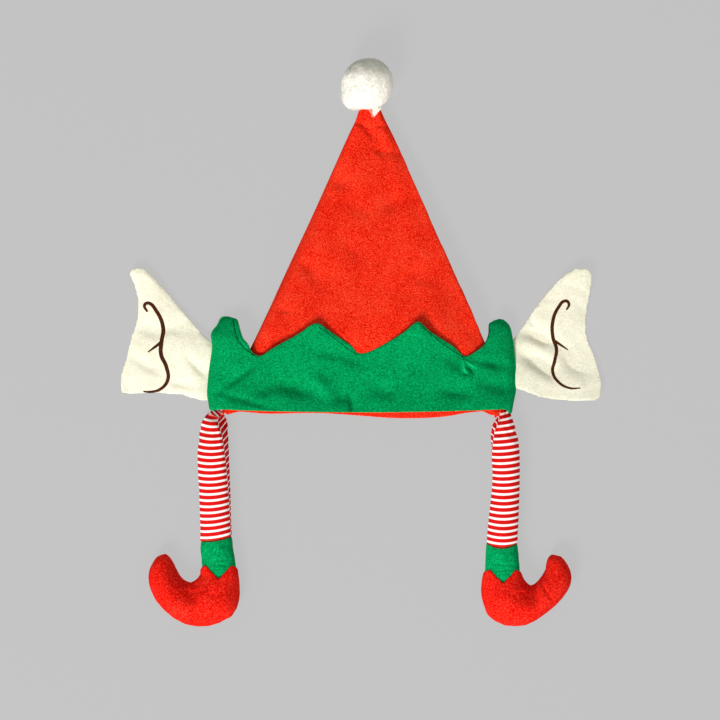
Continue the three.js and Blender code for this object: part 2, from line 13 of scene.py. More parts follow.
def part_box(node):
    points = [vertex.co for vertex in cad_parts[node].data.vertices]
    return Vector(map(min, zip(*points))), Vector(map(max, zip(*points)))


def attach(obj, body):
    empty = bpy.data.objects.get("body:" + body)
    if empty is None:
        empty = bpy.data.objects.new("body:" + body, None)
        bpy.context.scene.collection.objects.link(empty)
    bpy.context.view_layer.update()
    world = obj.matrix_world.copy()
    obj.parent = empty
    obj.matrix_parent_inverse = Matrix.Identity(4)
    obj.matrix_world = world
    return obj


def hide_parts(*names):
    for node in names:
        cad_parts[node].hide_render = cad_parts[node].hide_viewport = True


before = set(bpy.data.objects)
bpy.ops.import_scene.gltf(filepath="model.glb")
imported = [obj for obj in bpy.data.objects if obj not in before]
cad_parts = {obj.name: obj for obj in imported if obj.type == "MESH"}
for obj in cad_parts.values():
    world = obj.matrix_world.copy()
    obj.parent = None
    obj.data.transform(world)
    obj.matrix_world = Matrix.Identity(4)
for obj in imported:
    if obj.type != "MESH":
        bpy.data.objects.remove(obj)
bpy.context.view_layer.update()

MM = 0.001
SIDES = ("left", "right")

# View: straight down on the hat, from far enough that its height hardly changes its outline, with the width
# that is seen at one level above the floor
VIEW_CENTRE = (-0.6, -17.3)
VIEW_WIDTH = 720
VIEW_LEVEL = 12
CAMERA_HEIGHT = 3000
CAMERA_REACH = 20000
SENSOR = 36

# Light: soft fill from all round, and a key light from the lower left
FILL = 0.48
KEY = {"heading": 243, "height": 43, "distance": 3200, "size": 1100, "watts": 100}
# Floor: how much light it gives and how much it returns, its size, and how far it lies below the hat
FLOOR = {"glow": 0.494, "shade": 0.05, "size": 8000, "drop": 0.4}

# Fineness: how near points are to be merged, levels that smooth the cuff, cuts across the crown's long faces,
# more of them above a place near its tip, and how far a smoothing pass moves a point
MERGE = 0.02
CUFF_LEVELS = 3
CROWN_CUTS = {"from": 185, "above": 5, "below": 2, "long": 4}
SMOOTHING = 0.5

# Heights over which each kind of piece passes from its back to its front, where its folds are
FRONT = {
    "crown": (7, 14),
    "cuff": (8, 18),
    "ear": (1, 5),
    "leg": (9, 14),
    "ankle": (8, 14),
    "shoe": (8, 16),
}
# Unevenness of each kind of cloth: height, size and seed of its lumps, and how far one seed is from the next
LUMPS = {
    "crown": [(0.8, 26, 1), (0.25, 9, 3)],
    "cuff": [(0.7, 16, 2), (0.25, 6, 4)],
    "ear": [(0.22, 8, 5)],
    "leg": [(0.3, 7, 6)],
    "shoe": [(0.12, 3.2, 7)],
    "pompom": [(0.9, 6, 8), (0.5, 2.6, 9)],
}
SEED_STEP = (7.3, 3.1, 5.7)
# Nap of brushed cloth: size of the patches that lean alike, how much longer than wide a fibre is, its turn in
# radians, and the shares of fibres, clumps and lean in its tone
NAP = {"patch": 26, "stretch": 2.6, "turn": -0.5, "fibres": 0.7, "clumps": 0.3, "lean": 0.12}

# Soft pieces: levels that round the solid off, voxel of the even mesh, passes that smooth it before and
# after the fill, how much slimmer than the solid it starts, how much the cloth grows as it fills, the most
# that a point may move, and how much the finished piece is plumped
SOFT = {
    "ear": {"round": 2, "voxel": 1.6, "before": 8, "after": 8, "slack": 0.4, "growth": 0.006, "cap": 2.5,
            "plump": 0.0},
    "leg": {"round": 2, "voxel": 1.7, "before": 4, "after": 6, "slack": 0.4, "growth": 0.015, "cap": 2.0,
            "plump": 1.1},
    "ankle": {"round": 2, "voxel": 1.7, "before": 4, "after": 2, "slack": 0.3, "growth": 0.02, "cap": 1.2,
              "plump": 0.8},
    "shoe": {"round": 0, "voxel": 1.3, "before": 5, "after": 1, "slack": 0.5, "growth": 0.01, "cap": 1.6,
             "plump": 0.3},
}
# Steps and pressure of the simulated fill
FILL_STEPS = 20
FILL_PRESSURE = 4
# Where seams hold each kind of piece: an ear round its rim, where its cloth turns on edge, a leg and an ankle
# at top and foot, measured from there, and a shoe near its inner side, above its sole. A point that is held
# by more than the firm share stays in place during the fill.
HELD = {
    "ear": {"on_edge": (0.3, 0.6)},
    "leg": {"top": (-22, -8), "foot": (3, 10)},
    "ankle": {"top": (-6, -2), "foot": (14, 20)},
    "shoe": {"from_inner": (42, 50), "above_sole": (38, 46)},
}
FIRM = 0.5

# Sections that measure the crown: how far apart, how far each reaches, and the height of the side folds
SECTION = {"step": 6, "reach": 4, "fold": 12}
# The front lies flatter than an arch: share of its rise that is kept, and how square its shoulders are, the
# right one at the mouth and higher up, with the rows between these
FLAT = {"rise": 0.45, "left": 6, "right_low": 6, "right_high": 3.5, "rows": (-4, 26)}
# Its right edge curls up, where the fold of the cloth is thinner and turns over sharply: how far it lifts,
# how much thinner it is and about which height, the places across the crown where these begin, the width
# that it turns in, as a size and as the most of the crown's half width, and the heights and rows of the curl
CURL = {"lift": 10.0, "lift_from": 0.35, "thin": 0.5, "thin_from": 0.6, "about": 6, "width": 9.0,
        "most": 0.15, "heights": (4, 10), "ends": (150, 220)}
# The cuff drapes down onto the crown and rises again towards its points. The crown rises with it, and this
# fades farther up.
DRAPE = {"from": -62, "to": -22, "drop": 4.8, "lift": 3.2, "tips": 18, "fades": (60, 200)}
# How much wider than the solid the crown lies on each side, and the rows over which this begins
WIDER = {"left": 1.4, "right": 0.2, "rows": (-10, 30)}
# Rows over which the cuff's folds give way to the crown's own
ABOVE_CUFF = (-20, 20)

# The far side of a fold faces this heading, away from the mouth's left corner. Its width there is a share of
# its width on the near side.
FAR_SIDE = math.radians(63)
FAR = {"crown": 1.8, "cuff": 1.6, "ear": 1.5, "leg": 1.0, "ankle": 1.0, "shoe": 0.18}

# Every table of folds has these columns: x, y, heading in degrees, half length, half width, depth.
# Every table of moves has these: x, y, reach across, reach along, move across, move along.

# Folds of the crown's front
CROWN_FOLDS = [
    (7, 211.5, -48, 10, 3.0, 3.4),
    (-0.5, 218, -21, 8, 2.2, 2.8),
    (21, 216, -8, 6, 1.8, 2.0),
    (3, 226, 70, 5, 1.6, 1.4),
    (10, 224, 100, 6, 1.8, -1.2),
    (27, 191, -12, 14, 4.5, 2.4),
    (20, 191, -50, 8, 3.5, 1.6),
    (-20.5, 160, -30, 10, 6.5, 3.0),
    (-4, 136, -30, 20, 8.0, 2.2),
    (29, 139, 20, 15, 8.0, 3.2),
    (-53, 76, -42, 8, 6.0, 3.2),
    (-45, 65, -45, 14, 8.0, 2.2),
    (-76, 32, -5, 6, 2.4, 2.4),
    (-72, 25, 60, 8, 4.0, 1.2),
    (63, 65, -15, 14, 7.0, 2.0),
    (-5, 92, -40, 12, 8.0, 1.4),
]
# The crown's tip reaches up into the pompom
TIP_RISE = {"from": 219, "to": 233, "rise": 6.5}
# Height that parts the front's hem from the back's
HEM_SPLIT = 11
# Moves of the front's hem, which hangs below the cuff at the mouth's corners
HEM_TONGUES = [
    (123, -72, 6, 8, 0, 2.4),
    (135, -67, 3.2, 6, 0, -11),
    (-137.5, -67, 3.2, 5, -0.5, -7),
]
# How far such a tongue lifts, and how far down it is when it does so fully
TONGUE = {"lift": 2.5, "hang": 6}
# Moves of the back's hem, which shows a little below the cuff
BACK_HEM = [
    (123, -72, 6, 8, 0, 2.4),
    (37, -72, 58, 9, 0, -1.8),
    (-75, -72, 45, 9, 0, -0.9),
    (88, -72, 26, 9, 0, -1.9),
    (-20, -72, 30, 9, 0, -1.0),
    (-105, -72, 22, 9, 0, -0.7),
]

# Moves that true the cuff's outline to its points
CUFF_TRUING = [
    (56.5, 17, 8, 12, 0.6, 4.2),
    (-45, 16, 13, 12, 0, 2.4),
    (103.5, -13, 8, 9, -1.2, -2.8),
    (-101.5, -14, 9, 9, 0, -2.4),
    (3, -12, 12, 9, -5.2, -1.2),
    (-147, 14, 7, 11, -5.4, 0),
    (-138, 23, 7, 6, -2.5, 1.6),
    (-117, 10, 7, 12, 0.6, 0),
    (131, 18, 5, 7, -1.6, 0.4),
    (137, 23, 6, 5, 0, 0.6),
    (146, 18, 5, 8, 2.0, 0.6),
    (-151, -58, 8, 12, -2.4, 0),
    (-147.5, -65, 5, 5, -2.2, -1.5),
    (149.5, -66, 3.5, 5, 0.5, -4.5),
    (-146, 8, 5, 8, -1.8, 0),
    (148, 10, 5, 10, 1.6, 0),
    (-114, -3, 5, 5, 2.0, 0.8),
]
# The side lobes turn down beyond a fold: side, x, y and heading of the fold, and slope beyond it
LOBE_TURNS = [
    (-1, -140, 2.5, 3, 0.42),
    (1, 129.4, 4.7, 37, 0.5),
]
# How far out from the hat's middle the lobes begin
LOBE_FROM = (108, 122)
# Dark lines along the cuff's edges, painted shade in the gap where its two layers of felt meet, drawn as
# short dashes: half width and places along each line, and the length of the dashes and of the gaps between
# them
SHADE_DASH = {"length": 7.0, "gap": 0.9, "points": 4}
CUFF_SHADE_LINES = [
    (0.4, [(-41.6, 15.3), (-33.6, 9.7), (-21.6, 0.7), (-7.6, -9.9), (-2, -12.8)]),
    (0.4, [(60.4, 16.7), (70.4, 7.7), (82.4, -2.3), (102.4, -14.7)]),
    (0.65, [(-127.4, 22.5), (-126.2, 16), (-125, 10), (-122.6, 3), (-120, -1), (-115.6, -5.7),
            (-106, -13.2)]),
]
# Where the cuff lies closer to the crown, at the valleys beside its points, and where its points and its
# lower edge stand off it, as folds
CUFF_REST = [
    (-104, -13, 0, 13, 9, 4.0),
    (104, -12, 0, 10, 8, 2.2),
    (57, 17, 0, 20, 16, -6.0),
    (-45, 21, 0, 19, 13, -2.6),
    (-125, -72, 0, 30, 9, -4.5),
    (-20, -74, 0, 90, 8, -3.5),
]
# The cuff is pinched below its right valley, and drawn paler along the pinch's two crests as a painted
# highlight: places along each crest, with the half width of the pale line
PINCH_CRESTS = [
    [(101.6, -17.5, 0.9), (102.1, -21, 1.4), (103, -25.8, 1.5), (104.2, -28.6, 1.4), (105.8, -30.4, 0.8)],
    [(103.8, -17.5, 1.0), (108.2, -21.2, 1.5), (111.8, -23.7, 1.2), (115, -25.6, 0.6)],
]
# The inner layer of the front shows a little past the outer one: its move, the rows over which this begins,
# and the lean of the surface that tells the layers apart
INNER_FELT = {"across": 0.9, "along": 1.5, "rows": (-45, -15), "lean": (-0.3, 0.3)}
# The groove between the layers: angle of the edges beside it, its width and its depth
RIM_SEAM = {"corner": 50, "width": 1.0, "depth": 1.1}

CUFF_FOLDS = [
    (-124, -36, 36, 24, 3.8, 5.0),
    (-95, -46.5, 18, 15, 6.0, 4.0),
    (-65, -45.5, -14, 18, 7.0, 7.0),
    (-39, -43.5, -45, 13, 5.0, -4.2),
    (-9, -61, -82, 11, 2.8, 3.8),
    (-18, -55, 0, 10, 5.5, 3.2),
    (24, -48.5, 0, 14, 6.0, 3.8),
    (-30, -10, -12, 20, 6.5, 3.4),
    (-8, -17, -20, 14, 6.0, 2.4),
    (109.8, -27, -45, 5.0, 2.0, 3.8),
    (104.4, -31, -10, 3.0, 1.6, 2.4),
    (103, -24, -78, 7, 2.4, -3.0),
    (108.5, -21.3, -33, 6, 2.4, -2.4),
    (94, -20, -30, 14, 6.5, 4.0),
    (130, -21, -10, 13, 3.6, 5.2),
    (95, -49, -8, 17, 6.5, 5.5),
    (134, -42.5, -12, 18, 7.5, 5.5),
    (-122, -54.5, -13, 22, 2.0, 2.4),
    (-112, -60, -12, 20, 1.8, 1.9),
    (-112, -22, 100, 10, 6.0, 2.0),
]

EAR_FOLDS = {
    "ear_left": [
        (-213, 11.5, 160, 14, 6.0, 1.4),
        (-186, 12.5, 174, 15, 5.5, 1.3),
        (-213, -24, 150, 18, 5.0, 2.0),
        (-178, -41.5, 168, 13, 4.0, 1.9),
        (-164, -24, 135, 14, 4.0, 2.6),
    ],
    "ear_right": [
        (179, 5.5, 160, 19, 6.5, 6.0),
        (178, -20.5, 146, 22, 6.8, 6.2),
        (214, -17, 150, 18, 12.0, 6.8),
        (172, 20, 145, 8, 3.0, 1.4),
        (167, 27, 150, 6, 2.5, 1.0),
    ],
}
# Moves that true the ears' outlines
EAR_TRUING = {
    "ear_left": [
        (-229, 74, 7, 9, -2.8, 1.4),
        (-230, 70, 5, 7, -1.8, 0),
        (-228, 2, 10, 30, -2.2, 0),
        (-229, 9, 5, 4, -1.2, 0),
        (-238, -40, 12, 18, -2.0, 0),
        (-240, -53, 6, 6, -1.8, -2.0),
        (-190, -54, 26, 7, 0, 1.5),
    ],
    "ear_right": [
        (232, 5, 14, 60, 1.4, 0),
        (239, -42, 12, 16, 1.8, 0),
        (198, -58, 34, 9, 0, -2.4),
        (236, -58, 7, 7, 1.0, -1.0),
        (172, -51, 14, 8, 0, -1.8),
    ],
}

# Printed line along the fold of each ear: points with the line's half width, and its short branch
EAR_LINES = {
    "ear_left": [
        [(-213.7, 30.9, 1.0), (-216.6, 37.6, 1.6), (-213.0, 39.8, 1.7), (-204.4, 31.6, 1.9),
         (-197.8, 14.6, 2.1), (-199.4, 0.4, 2.1), (-199.8, -11.4, 2.1), (-194.4, -24.4, 2.0),
         (-193.0, -36.6, 1.8), (-200.6, -46.6, 1.5), (-212.8, -49.4, 1.1), (-217.8, -48.8, 0.6)],
        [(-200.3, 0.0, 1.6), (-206.0, -4.4, 1.3), (-212.9, -9.3, 0.6)],
    ],
    "ear_right": [
        [(206.2, 33.0, 0.9), (208.5, 38.6, 1.4), (205.3, 41.7, 1.5), (197.7, 34.7, 1.7),
         (192.3, 20.0, 1.8), (192.8, 5.9, 1.8), (196.4, -6.5, 1.8), (194.6, -18.0, 1.7),
         (192.6, -29.2, 1.6), (198.0, -39.2, 1.4), (209.0, -45.3, 1.1), (220.0, -45.4, 0.6)],
        [(195.0, 1.6, 1.5), (201.0, -2.4, 1.2), (208.0, -7.1, 0.5)],
    ],
}
# Lines that lie on the cloth: their lift off it, how much they stand up, and how finely they are drawn, round
# and along
LINE = {"lift": 0.12, "relief": 0.18, "round": 2, "steps": 10}

# Knitted rounds of the legs, measured down from the middle of the hat: their pitch, where a red one lies at
# the left edge, and how they tilt and bow across the leg at its top and its foot. The seam runs down one
# side, as y and x, and beyond it the rounds slant.
LEG_ROUNDS = {
    "leg_left": {"pitch": 6.29, "red": 90.9, "tilt": (-0.2, -2.0), "bow": (2.3, 1.5), "side": 1,
                 "seam": [(-80, -142.3), (-86, -140.2), (-93, -138.1), (-106, -136.1), (-120, -134.3),
                          (-140, -132.6), (-157, -131.4), (-198, -129.2)]},
    "leg_right": {"pitch": 6.0, "red": 117.3, "tilt": (-1.5, -0.2), "bow": (0.6, 1.8), "side": -1,
                  "seam": [(-68, 140), (-80, 137), (-90, 133.4), (-104, 131.6), (-125, 130.6),
                           (-200, 126)]},
}
# Where the tilt and bow for top and foot hold, how far they go on changing past these, and the number of the
# first round, which keeps the count above zero
ROUNDS = {"top": 95, "foot": 175, "past": (-0.3, 1.2), "first": 100}
# Where a round passes from red to white and back, as shares of its pitch
STRIPE_EDGES = (0.293, 0.353, 0.647, 0.707)
# Beyond the seam the rounds are shifted by part of one and slant, and their white is drawn thinner as
# painted shade for the knit that turns away from the light there. The seam lies in a groove, and the knit
# falls away beside it as far as it reaches.
SEAM = {"shift": 0.5, "slant": 0.8, "stretch": 1.7, "width": 1.5, "depth": 1.6, "lean": 1.5, "reach": 7}
# Pleats at the top of a leg: how many, how deep, how far down they reach, and how they sway
LEG_GATHERS = {"pleats": 7, "depth": 1.3, "reach": 11, "sway": 0.8, "wave": 3}
# Sections that measure a leg: how many, and how far each reaches
LEG_SECTIONS = {"count": 45, "reach": 2.5}

LEG_FOLDS = {
    "leg_left": [
        (-149, -75.4, -20, 7, 1.6, 3.0),
        (-139, -80, -70, 10, 3.0, 2.5),
        (-142, -100, -80, 12, 2.5, 0.8),
    ],
    "leg_right": [
        (136, -83, 4, 7, 1.3, 1.2),
        (138.5, -75, 70, 5, 2.0, 3.0),
        (150, -150, 5, 9, 2.5, 0.6),
    ],
}
# Moves that true the outlines of the legs and the ankles
LEG_TRUING = {
    "leg_left": [
        (-146, -198, 24, 4, 0, 0.9),
        (-156, -78, 7, 12, -2.0, 0),
        (-155, -70, 5, 6, -2.4, 0),
        (-162, -112, 7, 22, -0.9, 0),
        (-145, -197, 16, 6, 0, -1.6),
        (-159, -197, 4, 4, -1.0, -0.4),
        (-130, -194, 4, 4, 1.4, -0.4),
    ],
    "leg_right": [
        (130, -84, 6, 10, -1.5, 0),
        (142, -201, 18, 7, 0, -4.6),
        (157, -199, 4, 4, 0.8, 0),
        (153.5, -89.5, 4, 6, 1.2, 0),
        (151, -67, 4, 6, -2.2, 0),
    ],
}
ANKLE_TRUING = {
    "ankle_left": [
        (-158.5, -203, 5, 8, -0.9, 0),
        (-130, -199, 5, 6, 0.4, 0),
    ],
    "ankle_right": [
        (127, -206, 5, 8, -0.6, 0),
        (156, -206, 5, 8, 0.4, 0),
    ],
}
# Above the crease at the top of the left leg the knit is twisted, so its rounds run aslant
KNOT = {"leg": "leg_left", "x": -140, "y": -75.4, "slope": -0.36, "pitch": 5.2}
# How far an ear is tucked into the cuff, an ankle into its leg and a leg down over its ankle, and the rows of
# this, from an ankle's top and from a leg's foot
TUCK = {"ear": 4.5, "ankle": 5.5, "leg": 0.8}
TUCK_ROWS = {"ankle": (-8, -1), "leg": (0, 6)}
# How far an ear's rim is drawn out from its solid before it is smoothed, and the height that folds leave it
EAR_RIM = 1.6
EAR_FLOOR = 2.5
# Each ear is cupped: how far its tip and its lower edge lift, from a line across its middle
EAR_CUP = {"middle": 5, "reach": 60, "ear_left": (4.0, 3.0), "ear_right": (7.0, 7.0)}
# An ear's root is drawn in from above: the root's middle and half height, how far it closes, how far out this
# reaches, and the most that the height counts
EAR_ROOT = {"middle": -20, "half": 25, "close": 5.0, "reach": 14, "most": 1.2}
# How much slimmer an ankle is where its leg covers it
ANKLE_SLIM = 0.25
ANKLE_FOLDS = {
    "ankle_left": [
        (-143, -217, 4, 11, 1.5, 0.8),
        (-141, -221, -6, 9, 1.4, 0.9),
        (-146, -207, 60, 7, 2, 0.6),
    ],
    "ankle_right": [
        (142, -221, -4, 11, 1.5, 0.8),
        (144, -226, 5, 9, 1.4, 0.9),
        (146, -212, 115, 7, 2, 0.6),
    ],
}
# A dark line in the seam between each leg and its ankle, painted shade in the groove there: places along it,
# with the line's half width
ANKLE_SEAMS = {
    "ankle_left": [(-160, -198.2, 0.4), (-153, -198.4, 0.5), (-145.6, -197.6, 0.5), (-137, -196.0, 0.5),
                   (-129.6, -194.0, 0.4)],
    "ankle_right": [(126.2, -200.8, 0.4), (131.4, -203.2, 0.5), (140.4, -204.8, 0.5), (149.4, -203.5, 0.5),
                    (156.2, -201.2, 0.4)],
}
# Dents and creases of the shoes
SHOE_FOLDS = {
    "shoe_left": [
        (-164, -248, 84, 14, 14.0, 7.5),
        (-181, -226, 115, 20, 11.0, 5.0),
        (-122, -246, 88, 20, 9.0, 4.0),
    ],
    "shoe_right": [
        (175, -249, 92, 12, 13.0, 5.5),
        (187.5, -249.5, -58, 9, 2.6, 2.4),
    ],
}
# Moves that true the outlines of the shoes at their heels
SHOE_TRUING = {
    "shoe_left": [
        (-122, -255, 8, 22, 1.3, 0),
        (-128, -273, 8, 7, 1.0, -1.0),
    ],
    "shoe_right": [
        (121, -255, 8, 22, -1.3, 0),
        (127, -273, 8, 8, -1.0, -0.8),
    ],
}

# Pompom: a ball of tufts, smoothed by its levels, and the strands that stand out of it. Real fibres are too
# fine to show, so the strands are as thick as they need to be. Their roots lie a little deep, and their
# places, lean and length vary.
PILE = {"strands": 12000, "root": 0.32, "tip": 0.12, "core": 25.0, "levels": 6, "reach": 26.3, "deep": 2.5,
        "scatter": 0.03, "lean": 0.09, "shorter": 0.05, "seed": 7}
# Its outline is fuller at the lower left and slimmer at the upper left: heading, spread and change of reach
PILE_BULGES = [(227, 20, 6.0), (138, 34, -1.6), (95, 24, -1.2), (305, 20, 1.0)]
# Its top is drawn greyer, as painted shade on the side that faces away from the light: where that begins,
# from where it is full, and how uneven its edge is
PILE_TOP_SHADE = {"from": 270, "to": 280, "uneven": 12}
# One loose lock hangs over the tip of the crown
LOCK = {"from": (16, 234, 22), "to": (13, 227, 20.5), "strands": 40, "spread": (1.9, 0.6, 0.8),
        "gather": 0.3, "stray": (0.24, 1.28, 0.24)}

rng = np.random.default_rng(PILE["seed"])


# Helpers for shaping

def select_only(piece):
    bpy.ops.object.select_all(action="DESELECT")
    piece.select_set(True)
    bpy.context.view_layer.objects.active = piece


def copied(node, name):
    """A merged copy of a CAD node's mesh, as a new piece."""
    piece = bpy.data.objects.new(name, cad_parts[node].data.copy())
    bpy.context.scene.collection.objects.link(piece)
    piece.data.materials.clear()
    select_only(piece)
    bpy.ops.object.mode_set(mode="EDIT")
    bpy.ops.mesh.select_all(action="SELECT")
    bpy.ops.mesh.remove_doubles(threshold=MERGE * MM)
    bpy.ops.object.mode_set(mode="OBJECT")
    return piece


def to_quads(piece):
    select_only(piece)
    bpy.ops.object.mode_set(mode="EDIT")
    bpy.ops.mesh.select_all(action="SELECT")
    bpy.ops.mesh.tris_convert_to_quads(face_threshold=math.pi, shape_threshold=math.pi)
    bpy.ops.object.mode_set(mode="OBJECT")


def finish_with(piece, kind, **settings):
    """Adds a modifier with its settings and applies it."""
    select_only(piece)
    modifier = piece.modifiers.new(kind.lower(), kind)
    for name, value in settings.items():
        setattr(modifier, name, value)
    bpy.ops.object.modifier_apply(modifier=modifier.name)


def subdivide(piece, levels):
    finish_with(piece, "SUBSURF", levels=levels, render_levels=levels)


def points_of(piece):
    flat = np.empty(len(piece.data.vertices) * 3)
    piece.data.vertices.foreach_get("co", flat)
    return flat.reshape(-1, 3) / MM


def set_points(piece, points):
    piece.data.vertices.foreach_set("co", (points * MM).ravel())
    piece.data.update()


def normals_of(piece):
    flat = np.empty(len(piece.data.vertices) * 3)
    piece.data.vertices.foreach_get("normal", flat)
    return flat.reshape(-1, 3)


def ease(values, low, high):
    """Smooth step from 0 at low to 1 at high."""
    share = np.clip((values - low) / (high - low), 0, 1)
    return share * share * (3 - 2 * share)


def front_of(points, kind):
    """How far each point belongs to the front of a piece, from 0 at its back to 1."""
    return ease(points[:, 2], *FRONT[kind])


def lumps(points, kind):
    """Smooth unevenness of a kind of cloth at each point."""
    total = 0
    for height, size, seed in LUMPS[kind]:
        shift = Vector([seed * step for step in SEED_STEP])
        total = total + height * np.array([noise.noise(Vector(point) / size + shift) for point in points])
    return total


def press_folds(points, folds, share, kind):
    """Presses soft valleys into the points' heights; share is how far each point follows."""
    for x, y, heading, length, width, depth in folds:
        angle = math.radians(heading)
        dx = points[:, 0] - x
        dy = points[:, 1] - y
        along = dx * math.cos(angle) + dy * math.sin(angle)
        across = dy * math.cos(angle) - dx * math.sin(angle)
        far = across * math.sin(FAR_SIDE - angle) > 0
        reach = np.where(far, width * FAR[kind], width)
        points[:, 2] -= depth * share * np.exp(-(along / length) ** 2 - (across / reach) ** 2)


def true_up(points, moves):
    """Moves the points near each place across and along."""
    for x, y, reach_x, reach_y, move_x, move_y in moves:
        near = np.exp(-((points[:, 0] - x) / reach_x) ** 2 - ((points[:, 1] - y) / reach_y) ** 2)
        points[:, 0] += move_x * near
        points[:, 1] += move_y * near


def settle(points):
    """Keeps every point on or above the surface that the hat lies on."""
    points[:, 2] = np.maximum(points[:, 2], 0)


# Materials

def linear(colour):
    """Turns an sRGB hex colour into the linear colour that a shader takes."""
    channels = [int(colour[i:i + 2], 16) / 255 for i in (0, 2, 4)]
    return [c / 12.92 if c <= 0.04045 else ((c + 0.055) / 1.055) ** 2.4 for c in channels] + [1]


def add(tree, kind, values=None, links=None, ramp=None, **settings):
    """Adds a node with its settings, its sockets' values, the links into it and the stops of its ramp."""
    made = tree.nodes.new(kind)
    for name, value in settings.items():
        setattr(made, name, value)
    for socket, value in (values or {}).items():
        made.inputs[socket].default_value = value
    for socket, source in (links or {}).items():
        tree.links.new(source, made.inputs[socket])
    for i, (position, colour) in enumerate(ramp or []):
        stops = made.color_ramp.elements
        stop = stops[i] if i < len(stops) else stops.new(position)
        stop.position = position
        stop.color = colour
    return made


def new_material(name):
    material = bpy.data.materials.new(name)
    material.use_nodes = True
    material.node_tree.nodes.clear()
    return material, material.node_tree


def napped_cloth(name, dark, mid, light, clump, fibre, relief):
    """Brushed cloth: short fibres lie in small clumps that catch the light or fall in shade, and the nap's
    lean changes slowly over the piece. Real fibres are too fine to show, so they and their clumps are drawn
    as coarse as they need to be."""
    material, tree = new_material(name)
    place = add(tree, "ShaderNodeTexCoord").outputs["Object"]
    clumps = add(tree, "ShaderNodeTexNoise", {"Scale": 1 / (clump * MM), "Detail": 3, "Roughness": 0.62},
                 {"Vector": place})
    lean = add(tree, "ShaderNodeTexNoise", {"Scale": 1 / (NAP["patch"] * MM), "Detail": 2},
               {"Vector": place})
    turned = add(tree, "ShaderNodeMapping",
                 {"Rotation": (0, 0, NAP["turn"]), "Scale": (NAP["stretch"], 1, 1)},
                 {"Vector": place}, vector_type="TEXTURE")
    fibres = add(tree, "ShaderNodeTexNoise", {"Scale": 1 / (fibre * MM), "Detail": 2, "Roughness": 0.7},
                 {"Vector": turned.outputs["Vector"]})
    patchy = add(tree, "ShaderNodeMath", {1: NAP["fibres"]}, {0: fibres.outputs["Fac"]},
                 operation="MULTIPLY")
    mixed = add(tree, "ShaderNodeMath", {1: NAP["clumps"]},
                {0: clumps.outputs["Fac"], 2: patchy.outputs[0]}, operation="MULTIPLY_ADD")
    leaning = add(tree, "ShaderNodeMath", {1: NAP["lean"]},
                  {0: lean.outputs["Fac"], 2: mixed.outputs[0]}, operation="MULTIPLY_ADD")
    tone = add(tree, "ShaderNodeValToRGB", links={"Fac": leaning.outputs[0]},
               ramp=[(0.45, linear(dark)), (0.68, linear(light)), (0.56, linear(mid))])
    bump = add(tree, "ShaderNodeBump", {"Strength": 1.0, "Distance": relief * MM},
               {"Height": mixed.outputs[0]})
    shader = add(tree, "ShaderNodeBsdfPrincipled", {"Roughness": 0.95, "Specular IOR Level": 0.03},
                 {"Base Color": tone.outputs["Color"], "Normal": bump.outputs["Normal"]})
    add(tree, "ShaderNodeOutputMaterial", links={"Surface": shader.outputs["BSDF"]})
    return material


def striped_knit():
    """Fine jersey knitted in red and white rounds: crisp stripes with a faint grain, matte. The white rounds
    glow a little even in shade, which is painted light, and past the seam they are drawn thinner, which is
    painted shade for the knit that turns away from the light there. Its stitches are too fine to show, so
    the grain is drawn as coarse as it needs to be."""
    material, tree = new_material("striped_jersey_knit")
    place = add(tree, "ShaderNodeTexCoord").outputs["Object"]
    rounds = add(tree, "ShaderNodeAttribute", attribute_name="rounds").outputs["Fac"]
    phase = add(tree, "ShaderNodeMath", links={0: rounds}, operation="FRACT")
    # How much thinner the white rounds are drawn, as painted shade past the seam
    stretch = add(tree, "ShaderNodeAttribute", attribute_name="stretch").outputs["Fac"]
    centred = add(tree, "ShaderNodeMath", {1: 0.5}, {0: phase.outputs[0]}, operation="SUBTRACT")
    shade_thinned = add(tree, "ShaderNodeMath", {2: 0.5}, {0: centred.outputs[0], 1: stretch},
                  operation="MULTIPLY_ADD")
    red_to, white_from, white_to, red_from = STRIPE_EDGES
    stripe = add(tree, "ShaderNodeValToRGB", links={"Fac": shade_thinned.outputs[0]},
                 ramp=[(0.0, linear("D40C08")), (1.0, linear("D40C08")), (red_to, linear("DC100B")),
                       (white_from, linear("FBF5F2")), (white_to, linear("FBF5F2")),
                       (red_from, linear("DC100B"))])
    # Painted light: the white rounds glow, so that they stay bright even in shade
    glow = add(tree, "ShaderNodeValToRGB", links={"Fac": shade_thinned.outputs[0]},
               ramp=[(red_to, linear("000000")), (red_from, linear("000000")),
                     (white_from, linear("FFFFFF")), (white_to, linear("FFFFFF"))])
    thread = add(tree, "ShaderNodeTexNoise", {"Scale": 1 / (1.6 * MM), "Detail": 2}, {"Vector": place})
    worn = add(tree, "ShaderNodeMix", {"Factor": 0.18}, {6: stripe.outputs["Color"],
               7: thread.outputs["Fac"]}, data_type="RGBA", blend_type="OVERLAY")
    bump = add(tree, "ShaderNodeBump", {"Strength": 0.6, "Distance": 0.35 * MM},
               {"Height": thread.outputs["Fac"]})
    shader = add(tree, "ShaderNodeBsdfPrincipled",
                 {"Roughness": 0.85, "Specular IOR Level": 0.15, "Emission Strength": 0.14},
                 {"Base Color": worn.outputs[2], "Emission Color": glow.outputs["Color"],
                  "Normal": bump.outputs["Normal"]})
    add(tree, "ShaderNodeOutputMaterial", links={"Surface": shader.outputs["BSDF"]})
    return material


